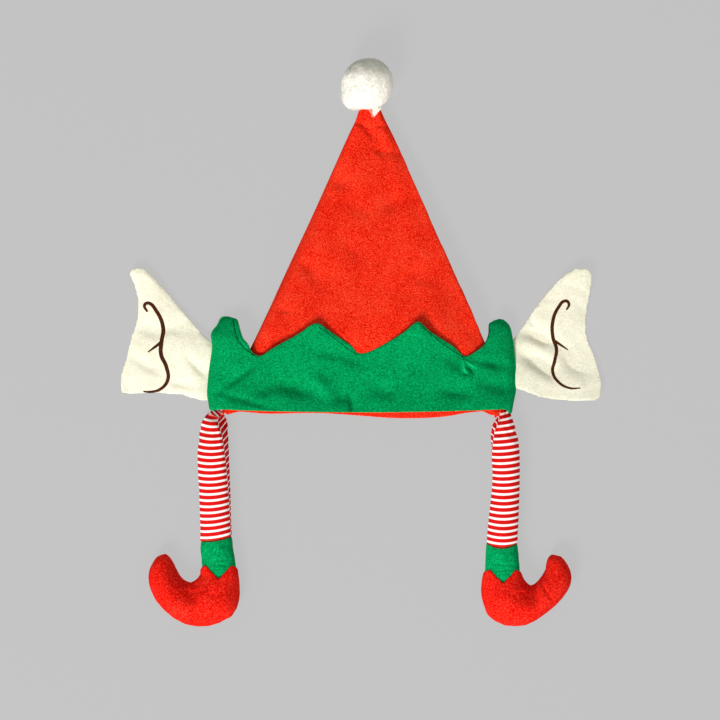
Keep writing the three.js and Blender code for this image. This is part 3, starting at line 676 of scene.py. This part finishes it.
def pile_yarn():
    """Loose acrylic pile: bright white fibres that pass light on to each other, with a little glow, which is
    painted light. At the top the tufts are drawn greyer, as painted shade."""
    material, tree = new_material("white_acrylic_pile")
    place = add(tree, "ShaderNodeTexCoord").outputs["Object"]
    tufts = add(tree, "ShaderNodeTexNoise", {"Scale": 1 / (5 * MM), "Detail": 2}, {"Vector": place})
    tone = add(tree, "ShaderNodeValToRGB", links={"Fac": tufts.outputs["Fac"]},
               ramp=[(0.35, linear("F8F3E6")), (0.65, linear("FFFCF2"))])
    # Painted shade: the top of the pompom is drawn greyer, on the side that faces away from the light
    along = add(tree, "ShaderNodeSeparateXYZ", links={"Vector": place})
    uneven = add(tree, "ShaderNodeMath", {1: PILE_TOP_SHADE["uneven"] * MM},
                 {0: tufts.outputs["Fac"], 2: along.outputs["Y"]}, operation="MULTIPLY_ADD")
    crest = add(tree, "ShaderNodeMapRange",
                {"From Min": PILE_TOP_SHADE["from"] * MM, "From Max": PILE_TOP_SHADE["to"] * MM},
                {"Value": uneven.outputs[0]})
    painted_top_shade = add(tree, "ShaderNodeMix", {7: linear("D0D0C3")}, {"Factor": crest.outputs[0],
                 6: tone.outputs["Color"]}, data_type="RGBA")
    # Painted light: the pile glows a little
    shader = add(tree, "ShaderNodeBsdfPrincipled",
                 {"Roughness": 0.9, "Specular IOR Level": 0.1, "Sheen Weight": 0.2,
                  "Emission Color": linear("FFFAEE"), "Emission Strength": 0.08},
                 {"Base Color": painted_top_shade.outputs[2]})
    add(tree, "ShaderNodeOutputMaterial", links={"Surface": shader.outputs["BSDF"]})
    return material


def printing_ink():
    """Dark brown fabric ink, soaked into the nap, so it is matte and a little uneven."""
    material, tree = new_material("brown_fabric_ink")
    place = add(tree, "ShaderNodeTexCoord").outputs["Object"]
    soak = add(tree, "ShaderNodeTexNoise", {"Scale": 1 / (2.5 * MM), "Detail": 3}, {"Vector": place})
    tone = add(tree, "ShaderNodeValToRGB", links={"Fac": soak.outputs["Fac"]},
               ramp=[(0.35, linear("38180A")), (0.7, linear("552B12"))])
    shader = add(tree, "ShaderNodeBsdfPrincipled", {"Roughness": 0.9, "Specular IOR Level": 0.1},
                 {"Base Color": tone.outputs["Color"]})
    add(tree, "ShaderNodeOutputMaterial", links={"Surface": shader.outputs["BSDF"]})
    return material


def shade_line_material(name, colour):
    """A dark line laid on the cloth as painted shade, in the gaps and grooves where little light reaches."""
    material, tree = new_material(name)
    shader = add(tree, "ShaderNodeBsdfPrincipled",
                 {"Base Color": linear(colour), "Roughness": 0.9, "Specular IOR Level": 0.1})
    add(tree, "ShaderNodeOutputMaterial", links={"Surface": shader.outputs["BSDF"]})
    return material


def studio_floor():
    """Pale grey paper, lit from within like a light table, so that shadows on it stay faint."""
    material, tree = new_material("pale_paper")
    shade = FLOOR["shade"]
    shader = add(tree, "ShaderNodeBsdfPrincipled",
                 {"Base Color": (shade, shade, shade, 1), "Roughness": 1, "Specular IOR Level": 0,
                  "Emission Color": linear("FFFFFF"), "Emission Strength": FLOOR["glow"]})
    add(tree, "ShaderNodeOutputMaterial", links={"Surface": shader.outputs["BSDF"]})
    return material


# Crown and cuff

def crown_sections(points):
    """Places along the crown with its middle, its half width and its front's rise over its side folds."""
    rows = []
    for y in np.arange(points[:, 1].min() + SECTION["step"], points[:, 1].max(), SECTION["step"]):
        near = points[np.abs(points[:, 1] - y) < SECTION["reach"]]
        left, right = near[:, 0].min(), near[:, 0].max()
        rise = max(near[:, 2].max() - SECTION["fold"], 0)
        rows.append((y, (left + right) / 2, (right - left) / 2, rise))
    return np.array(rows)


def across_crown(points, sections):
    """How far each point is from the crown's middle, from -1 at its left edge to 1 at its right."""
    y, middle, half = sections.T[:3]
    return (points[:, 0] - np.interp(points[:, 1], y, middle)) / np.interp(points[:, 1], y, half)


def flattening(points, sections):
    """How far the front rises or sinks at each point to lie flatter than the solid's arch."""
    u = across_crown(points, sections)
    high = ease(points[:, 1], *FLAT["rows"])
    right = FLAT["right_low"] + high * (FLAT["right_high"] - FLAT["right_low"])
    shoulder = np.where(u < 0, FLAT["left"], right)
    u = np.clip(np.abs(u), 0, 1)
    flat = FLAT["rise"] * (1 - u ** shoulder)
    rise = np.interp(points[:, 1], sections[:, 0], sections[:, 3])
    return rise * (flat - np.cos(u * math.pi / 2))


def curl_edge(points, sections):
    """Curls the crown's right edge up and sharpens the fold of the cloth there."""
    half = np.interp(points[:, 1], sections[:, 0], sections[:, 2])
    u = across_crown(points, sections)
    width = np.minimum(CURL["width"], CURL["most"] * half)
    inwards = np.clip((1 - u) * half / width, 0, 1)
    points[:, 0] += width * (inwards - inwards ** 3) * ease(points[:, 2], *CURL["heights"]) * (u > 0)
    rows = ease(points[:, 1], *FLAT["rows"]) * (1 - ease(points[:, 1], *CURL["ends"]))
    thin = CURL["thin"] * rows * ease(u, CURL["thin_from"], 1)
    points[:, 2] += thin * (CURL["about"] - points[:, 2])
    towards_edge = np.clip((u - CURL["lift_from"]) / (1 - CURL["lift_from"]), 0, 1)
    points[:, 2] += CURL["lift"] * rows * towards_edge ** 2


def cut_rows(piece, low, high, cuts):
    """Cuts the rows of faces whose middle lies between two places along the piece into narrower rows."""
    select_only(piece)
    bpy.ops.object.mode_set(mode="EDIT")
    bpy.ops.mesh.select_mode(type="EDGE")
    bpy.ops.mesh.select_all(action="DESELECT")
    mesh = bmesh.from_edit_mesh(piece.data)
    for edge in mesh.edges:
        start, end = (vert.co.y / MM for vert in edge.verts)
        edge.select_set(abs(start - end) > CROWN_CUTS["long"] and low < (start + end) / 2 <= high)
    bmesh.update_edit_mesh(piece.data)
    bpy.ops.mesh.subdivide(number_cuts=cuts)
    bpy.ops.object.mode_set(mode="OBJECT")


def smooth_crown():
    """The crown's wall in finer faces, before it is laid down."""
    crown = copied("crown", "crown_cloth")
    to_quads(crown)
    subdivide(crown, 1)
    cut_rows(crown, CROWN_CUTS["from"], math.inf, CROWN_CUTS["above"])
    cut_rows(crown, -math.inf, CROWN_CUTS["from"], CROWN_CUTS["below"])
    subdivide(crown, 1)
    return crown


def shape_crown(crown, sections):
    """Lays the crown's front down flat, curls its edge, folds it, and lets its hem show below the cuff."""
    points = points_of(crown)
    front = front_of(points, "crown")
    points[:, 2] += flattening(points, sections) * front
    curl_edge(points, sections)
    lift = ease(points[:, 1], DRAPE["to"], DRAPE["tips"]) * (1 - ease(points[:, 1], *DRAPE["fades"]))
    points[:, 2] += DRAPE["lift"] * front * lift
    above_cuff = ease(points[:, 1], *ABOVE_CUFF)
    u = np.clip(across_crown(points, sections), -1, 1)
    points[:, 0] += np.where(u < 0, WIDER["left"], WIDER["right"]) * u * ease(points[:, 1], *WIDER["rows"])
    press_folds(points, CROWN_FOLDS, front * above_cuff, "crown")
    press_folds(points, CUFF_FOLDS, front * (1 - above_cuff), "cuff")
    points[:, 2] += front * above_cuff * lumps(points * (1, 1, 0), "crown")
    points[:, 1] += TIP_RISE["rise"] * ease(points[:, 1], TIP_RISE["from"], TIP_RISE["to"])
    in_front = points[:, 2] > HEM_SPLIT
    hem = points[in_front]
    flat_y = hem[:, 1].copy()
    true_up(hem, HEM_TONGUES)
    hem[:, 2] += TONGUE["lift"] * ease(flat_y - hem[:, 1], 0, TONGUE["hang"])
    points[in_front] = hem
    back = points[~in_front]
    true_up(back, BACK_HEM)
    points[~in_front] = back
    settle(points)
    set_points(crown, points)


def groove_rim(cuff):
    """The cuff is two layers of felt sewn and turned, so its edges have a groove between the layers."""
    select_only(cuff)
    bpy.ops.object.mode_set(mode="EDIT")
    bpy.ops.mesh.select_mode(type="FACE")
    bpy.ops.mesh.select_all(action="DESELECT")
    mesh = bmesh.from_edit_mesh(cuff.data)
    corner = math.radians(RIM_SEAM["corner"])
    for face in mesh.faces:
        sharp = [edge for edge in face.edges if edge.calc_face_angle(0) > corner]
        face.select_set(len(sharp) >= 2)
    bmesh.update_edit_mesh(cuff.data)
    bpy.ops.mesh.inset(thickness=RIM_SEAM["width"] * MM, depth=-RIM_SEAM["depth"] * MM)
    bpy.ops.object.mode_set(mode="OBJECT")


def make_cuff(sections):
    """The cuff, laid down on the crown, with its points trued, its lobes turned down and its folds."""
    cuff = copied("cuff", "cuff_cloth")
    to_quads(cuff)
    groove_rim(cuff)
    subdivide(cuff, CUFF_LEVELS)
    points = points_of(cuff)
    normals = normals_of(cuff)
    front = front_of(points, "cuff")
    points[:, 2] += flattening(points, sections) * front
    true_up(points, CUFF_TRUING)
    points[:, 2] -= DRAPE["drop"] * front * ease(points[:, 1], DRAPE["from"], DRAPE["to"])
    points[:, 2] += DRAPE["lift"] * front * ease(points[:, 1], DRAPE["to"], DRAPE["tips"])
    inner = front * (1 - ease(normals[:, 2], *INNER_FELT["lean"]))
    inner *= ease(points[:, 1], *INNER_FELT["rows"])
    points[:, 0] += INNER_FELT["across"] * inner
    points[:, 1] += INNER_FELT["along"] * inner
    for side, x, y, heading, slope in LOBE_TURNS:
        angle = math.radians(heading)
        beyond = (points[:, 1] - y) * math.cos(angle) - (points[:, 0] - x) * math.sin(angle)
        at_side = ease(side * points[:, 0], *LOBE_FROM)
        points[:, 2] -= slope * front * at_side * np.maximum(beyond, 0)
    press_folds(points, CUFF_FOLDS, front, "cuff")
    press_folds(points, CUFF_REST, front, "cuff")
    points[:, 2] += front * lumps(points * (1, 1, 0), "cuff")
    settle(points)
    set_points(cuff, points)
    return cuff


# Padded pieces

def sewn(kind, points, normals):
    """How firmly each point of a soft piece is held by its seams, from 0 to 1."""
    held = HELD[kind]
    from_top = points[:, 1] - points[:, 1].max()
    from_foot = points[:, 1] - points[:, 1].min()
    if kind == "ear":
        return 1 - ease(np.abs(normals[:, 2]), *held["on_edge"])
    if kind == "shoe":
        inner = points[np.argmin(np.abs(points[:, 0])), 0]
        by_ankle = 1 - ease(np.abs(points[:, 0] - inner), *held["from_inner"])
        return by_ankle * ease(from_foot, *held["above_sole"])
    return np.maximum(ease(from_top, *held["top"]), 1 - ease(from_foot, *held["foot"]))


def soft_piece(node):
    """A soft piece before its fill: an even mesh, slimmer than its solid, and held where it is sewn."""
    kind = node.split("_")[0]
    form = SOFT[kind]
    piece = copied(node, node + "_cloth")
    if form["round"]:
        to_quads(piece)
        subdivide(piece, form["round"])
    solid = piece.copy()
    solid.data = piece.data.copy()
    bpy.context.scene.collection.objects.link(solid)
    finish_with(piece, "REMESH", mode="VOXEL", voxel_size=form["voxel"] * MM)
    finish_with(piece, "SMOOTH", factor=SMOOTHING, iterations=form["before"])
    points = points_of(piece)
    normals = normals_of(piece)
    held = sewn(kind, points, normals)
    points -= normals * (form["slack"] * (1 - held))[:, None]
    set_points(piece, points)
    group = piece.vertex_groups.new(name="sewn")
    group.add(np.nonzero(held > FIRM)[0].tolist(), 1.0, "REPLACE")
    if kind == "ear":
        finish_with(piece, "SHRINKWRAP", target=solid, wrap_mode="ABOVE_SURFACE", offset=EAR_RIM * MM,
                    vertex_group="sewn")
    bpy.data.objects.remove(solid)
    return piece


def fill(pieces):
    """Fills the soft pieces in one short cloth simulation, and caps how far a point moves."""
    starts = [points_of(piece) for piece in pieces]
    for piece in pieces:
        cloth = piece.modifiers.new("fill", "CLOTH").settings
        cloth.use_pressure = True
        cloth.uniform_pressure_force = FILL_PRESSURE
        cloth.effector_weights.gravity = 0
        cloth.vertex_group_mass = "sewn"
        cloth.shrink_min = -SOFT[piece.name.split("_")[0]]["growth"]
    for step in range(1, FILL_STEPS + 1):
        bpy.context.scene.frame_set(step)
    for piece, start in zip(pieces, starts):
        select_only(piece)
        bpy.ops.object.modifier_apply(modifier="fill")
        move = points_of(piece) - start
        length = np.linalg.norm(move, axis=1, keepdims=True)
        cap = SOFT[piece.name.split("_")[0]]["cap"]
        set_points(piece, start + move * cap / np.maximum(length, cap))
    bpy.context.scene.frame_set(1)


def plumped(piece, kind):
    """Points of a soft piece once it is made finer and plumped out evenly."""
    finish_with(piece, "SMOOTH", factor=SMOOTHING, iterations=SOFT[kind]["after"])
    subdivide(piece, 1)
    points = points_of(piece) + SOFT[kind]["plump"] * normals_of(piece)
    settle(points)
    return points


def shape_ear(ear, node):
    """Tucks the ear's root into the cuff, trues and folds it, and cups it."""
    points = plumped(ear, "ear")
    out = np.abs(points[:, 0])
    root = 1 - ease(out, out.min(), out.min() + EAR_ROOT["reach"])
    points[:, 0] -= np.sign(points[:, 0]) * TUCK["ear"] * root
    high = np.clip((points[:, 1] - EAR_ROOT["middle"]) / EAR_ROOT["half"], 0, EAR_ROOT["most"])
    points[:, 1] -= EAR_ROOT["close"] * root * high
    true_up(points, EAR_TRUING[node])
    front = front_of(points, "ear")
    least = np.minimum(points[:, 2], EAR_FLOOR)
    press_folds(points, EAR_FOLDS[node], front, "ear")
    points[:, 2] = np.maximum(points[:, 2], least)
    points[:, 2] += front * lumps(points * (1, 1, 0), "ear")
    settle(points)
    away = (points[:, 1] - EAR_CUP["middle"]) / EAR_CUP["reach"]
    tip, hem = EAR_CUP[node]
    points[:, 2] += np.where(away > 0, tip, hem) * away ** 2
    set_points(ear, points)


def top_of(piece):
    """A way to look up the height of a piece's upper side at any place."""
    corners = [vertex.co for vertex in piece.data.vertices]
    tree = BVHTree.FromPolygons(corners, [face.vertices for face in piece.data.polygons])

    def height(x, y):
        hit = tree.ray_cast(Vector((x * MM, y * MM, 1)), Vector((0, 0, -1)))[0]
        nearest = hit or tree.find_nearest(Vector((x * MM, y * MM, 0)))[0]
        return nearest.z / MM

    return height


def draped_line(name, strokes, piece):
    """Flat strokes, tapered by the half width at each place, that follow a piece's upper surface."""
    curve = bpy.data.curves.new(name, "CURVE")
    curve.dimensions = "3D"
    curve.bevel_depth = MM
    curve.bevel_resolution = LINE["round"]
    curve.resolution_u = LINE["steps"]
    curve.use_fill_caps = True
    for stroke in strokes:
        spline = curve.splines.new("BEZIER")
        spline.bezier_points.add(len(stroke) - 1)
        for point, (x, y, half_width) in zip(spline.bezier_points, stroke):
            point.co = (x * MM, y * MM, 0)
            point.handle_left_type = "AUTO"
            point.handle_right_type = "AUTO"
            point.radius = half_width
    line = bpy.data.objects.new(name, curve)
    bpy.context.scene.collection.objects.link(line)
    select_only(line)
    bpy.ops.object.convert(target="MESH")
    height = top_of(piece)
    points = points_of(line)
    for point in points:
        point[2] = height(point[0], point[1]) + LINE["lift"] + LINE["relief"] * np.sign(point[2])
    set_points(line, points)
    return line


def shade_dashes(half_width, path):
    """Short strokes along a line of painted shade."""
    places = np.array(path)
    reach = np.concatenate([[0], np.cumsum(np.linalg.norm(np.diff(places, axis=0), axis=1))])
    strokes = []
    for start in np.arange(0, reach[-1] - SHADE_DASH["length"] / 2, SHADE_DASH["length"] + SHADE_DASH["gap"]):
        along = np.linspace(start, min(start + SHADE_DASH["length"], reach[-1]), SHADE_DASH["points"])
        spots = (np.interp(along, reach, places[:, axis]) for axis in (0, 1))
        strokes.append([(x, y, half_width) for x, y in zip(*spots)])
    return strokes


def leg_axis(points):
    """Middle and half width of a leg at each of its points."""
    rows = []
    for y in np.linspace(points[:, 1].min(), points[:, 1].max(), LEG_SECTIONS["count"]):
        near = points[np.abs(points[:, 1] - y) < LEG_SECTIONS["reach"]]
        low, high = near.min(0), near.max(0)
        rows.append((y, *(low + high)[[0, 2]] / 2, (high[0] - low[0]) / 2))
    y, x, z, half = np.array(rows).T
    return [np.interp(points[:, 1], y, column) for column in (x, z, half)]


def lay_rounds(leg, node, points, u, beyond):
    """Counts the knitted rounds at each point of a leg and marks where their white is drawn thinner, as
    painted shade past the seam. u runs across the leg from -1 to 1, and beyond is how far a point lies past
    the seam."""
    form = LEG_ROUNDS[node]
    down = -points[:, 1]
    u = np.clip(u, -1, 1)
    low = np.clip((down - ROUNDS["top"]) / (ROUNDS["foot"] - ROUNDS["top"]), *ROUNDS["past"])
    tilt, bow = (top + low * (foot - top) for top, foot in (form["tilt"], form["bow"]))
    rounds = (down - form["red"] - tilt * (u + 1) - bow * (1 - u * u)) / form["pitch"]
    slanted = rounds + SEAM["shift"] + SEAM["slant"] * beyond / form["pitch"]
    rounds = np.where(beyond > 0, slanted, rounds)
    if node == KNOT["leg"]:
        above = points[:, 1] - KNOT["y"] - KNOT["slope"] * (points[:, 0] - KNOT["x"])
        twisted = (points[:, 0] + points[:, 1]) / KNOT["pitch"]
        rounds = np.where((above > 0) & (points[:, 0] < KNOT["x"]), twisted, rounds)
    # Painted shade: past the seam the white rounds are drawn thinner
    stretch = np.where(beyond > 0, SEAM["stretch"], 1)
    for name, values in (("rounds", rounds + ROUNDS["first"]), ("stretch", stretch)):
        attribute = leg.data.attributes.new(name, "FLOAT", "POINT")
        attribute.data.foreach_set("value", values.astype(np.float32))


def shape_leg(leg, node):
    """Gathers the leg's top, sinks its seam and folds it."""
    points = plumped(leg, "leg")
    form = LEG_ROUNDS[node]
    true_up(points, LEG_TRUING[node])
    foot = points[:, 1].min()
    points[:, 1] -= TUCK["leg"] * (1 - ease(points[:, 1] - foot, *TUCK_ROWS["leg"]))
    x, z, half = leg_axis(points)
    turn = np.arctan2(points[:, 2] - z, points[:, 0] - x)
    top = points[:, 1].max()
    gather = LEG_GATHERS["depth"] * np.exp((points[:, 1] - top) / LEG_GATHERS["reach"])
    sway = LEG_GATHERS["sway"] * np.sin(points[:, 1] / LEG_GATHERS["wave"])
    gather = gather * np.cos(LEG_GATHERS["pleats"] * turn + sway)
    points[:, 0] += gather * np.cos(turn)
    points[:, 2] += gather * np.sin(turn)
    seam_y, seam_x = np.array(form["seam"][::-1]).T
    beyond = form["side"] * (points[:, 0] - np.interp(points[:, 1], seam_y, seam_x))
    front = front_of(points, "leg")
    points[:, 2] -= SEAM["depth"] * front * np.exp(-(beyond / SEAM["width"]) ** 2)
    points[:, 2] -= SEAM["lean"] * front * np.clip(beyond, 0, SEAM["reach"])
    press_folds(points, LEG_FOLDS[node], front, "leg")
    points[:, 2] += front * lumps(points, "leg")
    settle(points)
    set_points(leg, points)
    lay_rounds(leg, node, points, (points[:, 0] - x) / half, beyond)


def shape_ankle(ankle, node):
    """Tucks the ankle's top into its leg, where it is slimmer, and folds it."""
    points = plumped(ankle, "ankle")
    tucked = ease(points[:, 1] - points[:, 1].max(), *TUCK_ROWS["ankle"])
    points[:, 1] += TUCK["ankle"] * tucked
    points[:, 2] += ANKLE_SLIM * tucked * (points[:, 2].max() / 2 - points[:, 2])
    true_up(points, ANKLE_TRUING[node])
    press_folds(points, ANKLE_FOLDS[node], front_of(points, "ankle"), "ankle")
    settle(points)
    set_points(ankle, points)


def shape_shoe(shoe, node):
    """Trues the shoe's heel, dents it, and makes its plush a little uneven."""
    points = plumped(shoe, "shoe")
    true_up(points, SHOE_TRUING[node])
    press_folds(points, SHOE_FOLDS[node], front_of(points, "shoe"), "shoe")
    points += normals_of(shoe) * lumps(points, "shoe")[:, None]
    settle(points)
    set_points(shoe, points)


# Pompom

def strand_mesh(roots, tips):
    """Tapered three-sided strands from their roots to their tips, as points and faces."""
    count = len(roots)
    along = tips - roots
    along /= np.linalg.norm(along, axis=1, keepdims=True)
    side = np.cross(along, rng.normal(size=roots.shape))
    side /= np.linalg.norm(side, axis=1, keepdims=True)
    other = np.cross(along, side)
    rings = []
    for middle, radius in ((roots, PILE["root"]), (tips, PILE["tip"])):
        for k in range(3):
            angle = 2 * math.pi * k / 3
            rings.append(middle + radius * (math.cos(angle) * side + math.sin(angle) * other))
    points = np.stack(rings, 1).reshape(-1, 3)
    base = np.arange(count)[:, None] * 6
    walls = [base + np.array([k, (k + 1) % 3, 3 + (k + 1) % 3, 3 + k]) for k in range(3)]
    return points, np.concatenate(walls).tolist() + (base + np.array([3, 4, 5])).tolist()


def pile_shape(out):
    """Reach of the pompom in each direction, as a share of an even ball's."""
    level = np.hypot(out[:, 0], out[:, 1])
    heading = np.degrees(np.arctan2(out[:, 1], out[:, 0])) % 360
    change = sum(gain * np.exp(-((heading - middle) / spread) ** 2) for middle, spread, gain in PILE_BULGES)
    return 1 + level ** 2 * change / PILE["reach"]


def pile_strands(centre):
    """Roots and tips of the strands that stand out of the ball of tufts, and of the loose lock."""
    count = PILE["strands"]
    index = np.arange(count) + 0.5
    height = 1 - 2 * index / count
    golden_turn = math.pi * (1 + 5 ** 0.5)
    turn = golden_turn * index
    level = np.sqrt(1 - height ** 2)
    out = np.stack([level * np.cos(turn), level * np.sin(turn), height], 1)
    out += rng.normal(0, PILE["scatter"], out.shape)
    out /= np.linalg.norm(out, axis=1, keepdims=True)
    lean = out + rng.normal(0, PILE["lean"], out.shape)
    lean /= np.linalg.norm(lean, axis=1, keepdims=True)
    size = pile_shape(out)[:, None]
    roots = centre + out * (PILE["core"] - PILE["deep"]) * size
    tips = centre + lean * PILE["reach"] * size * (1 - PILE["shorter"] * rng.random((count, 1)))
    lock = rng.normal(size=(LOCK["strands"], 3)) * LOCK["spread"]
    lock_roots = lock + LOCK["from"]
    lock_tips = lock * LOCK["gather"] + LOCK["to"] + rng.normal(size=lock.shape) * LOCK["stray"]
    return np.concatenate([roots, lock_roots]), np.concatenate([tips, lock_tips])


def make_pompom():
    """The ball of tufts with its strands, in one piece."""
    low, high = (np.array(corner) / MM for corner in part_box("pompom"))
    centre = (low + high) / 2
    bpy.ops.object.select_all(action="DESELECT")
    bpy.ops.mesh.primitive_ico_sphere_add(subdivisions=PILE["levels"], radius=PILE["core"] * MM,
                                          location=centre * MM)
    core = bpy.context.active_object
    bpy.ops.object.transform_apply(location=True)
    points = points_of(core)
    out = (points - centre) / PILE["core"]
    tufts = lumps(points, "pompom")
    set_points(core, centre + out * (PILE["core"] * pile_shape(out) + tufts)[:, None])
    points, faces = strand_mesh(*pile_strands(centre))
    mesh = bpy.data.meshes.new("pompom_pile")
    mesh.from_pydata((points * MM).tolist(), [], faces)
    pile = bpy.data.objects.new("pompom_pile", mesh)
    bpy.context.scene.collection.objects.link(pile)
    select_only(pile)
    core.select_set(True)
    bpy.ops.object.join()
    points = points_of(pile)
    settle(points)
    set_points(pile, points)
    return pile


# Stage

def make_stage():
    bpy.ops.object.select_all(action="DESELECT")
    bpy.ops.mesh.primitive_plane_add(size=FLOOR["size"] * MM, location=(0, 0, -FLOOR["drop"] * MM))
    floor = bpy.context.active_object
    floor.name = "floor"
    floor.data.materials.append(studio_floor())
    world = bpy.data.worlds.new("studio")
    bpy.context.scene.world = world
    world.use_nodes = True
    background = world.node_tree.nodes["Background"]
    background.inputs["Color"].default_value = linear("FFFFFF")
    background.inputs["Strength"].default_value = FILL
    heading = math.radians(KEY["heading"])
    height = math.radians(KEY["height"])
    level = math.cos(height)
    towards = Vector((level * math.cos(heading), level * math.sin(heading), math.sin(height)))
    bpy.ops.object.light_add(type="AREA", location=towards * (KEY["distance"] * MM))
    key = bpy.context.active_object
    key.rotation_euler = towards.to_track_quat("Z", "Y").to_euler()
    key.data.size = KEY["size"] * MM
    key.data.energy = KEY["watts"]
    bpy.context.scene.view_settings.view_transform = "Standard"


def make_camera():
    x, y = VIEW_CENTRE
    bpy.ops.object.camera_add(location=(x * MM, y * MM, CAMERA_HEIGHT * MM), rotation=(0, 0, 0))
    camera = bpy.context.active_object
    camera.data.sensor_width = SENSOR
    camera.data.lens = SENSOR * (CAMERA_HEIGHT - VIEW_LEVEL) / VIEW_WIDTH
    camera.data.clip_end = CAMERA_REACH * MM
    bpy.context.scene.camera = camera


# Assembly

def dress(piece, material, node=None):
    """Gives a piece its material, attaches it to the body it rides on, and hides the solid that it stands
    for.
    """
    piece.data.materials.clear()
    piece.data.materials.append(material)
    select_only(piece)
    bpy.ops.object.shade_smooth()
    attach(piece, "root")
    if node:
        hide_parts(node)


red_fleece = napped_cloth("red_polar_fleece", "BE0502", "FA260D", "FF593A", 1.3, 0.62, 0.5)
red_plush = napped_cloth("red_short_plush", "C00402", "EC180D", "FF4330", 1.9, 0.9, 0.3)
green_plush = napped_cloth("green_short_plush", "00783C", "009A54", "0AB870", 1.9, 0.9, 0.3)
green_felt = napped_cloth("green_craft_felt", "00723A", "009450", "04B06A", 2.0, 0.9, 0.4)
# Paler felt for the painted highlight along the crests of the cuff's pinch
highlight_felt = napped_cloth("rubbed_green_felt", "02A05A", "08B269", "12C67A", 2.0, 0.9, 0.4)
cream_fleece = napped_cloth("cream_polar_fleece", "E6E0C4", "F1EDD4", "F8F6E2", 2.4, 1.1, 0.3)
knit = striped_knit()
white_pile = pile_yarn()
ink = printing_ink()
# Dark red for the painted shade in the seams between the legs and their ankles
red_seam_shade = shade_line_material("red_sewing_thread", "6A0C08")

crown = smooth_crown()
sections = crown_sections(points_of(crown))
shape_crown(crown, sections)
dress(crown, red_fleece, "crown")
cuff = make_cuff(sections)
dress(cuff, green_felt, "cuff")
# Painted highlight along the crests of the cuff's pinch
dress(draped_line("cuff_pinch", PINCH_CRESTS, cuff), highlight_felt)
# Painted shade in the gap between the cuff's two layers of felt, drawn as short dark dashes
strokes = [stroke for line in CUFF_SHADE_LINES for stroke in shade_dashes(*line)]
thread = draped_line("cuff_stitches", strokes, cuff)
dress(thread, shade_line_material("green_sewing_thread", "00522C"))
pompom = make_pompom()
dress(pompom, white_pile, "pompom")

PADDED = {
    "ear": (shape_ear, cream_fleece, "cream_fleece"),
    "leg": (shape_leg, knit, "striped_knit"),
    "ankle": (shape_ankle, green_plush, "green_felt"),
    "shoe": (shape_shoe, red_plush, "red_fleece"),
}
padded = {f"{kind}_{side}": soft_piece(f"{kind}_{side}") for kind in PADDED for side in SIDES}
fill(list(padded.values()))
for node, piece in padded.items():
    kind = node.split("_")[0]
    shape, material, slot = PADDED[kind]
    shape(piece, node)
    dress(piece, material, node)
    if kind == "ear":
        dress(draped_line(node + "_line", EAR_LINES[node], piece), ink)
    if kind == "ankle":
        # Painted shade in the groove where each leg meets its ankle
        dress(draped_line(node + "_seam", [ANKLE_SEAMS[node]], piece), red_seam_shade)

make_stage()
make_camera()
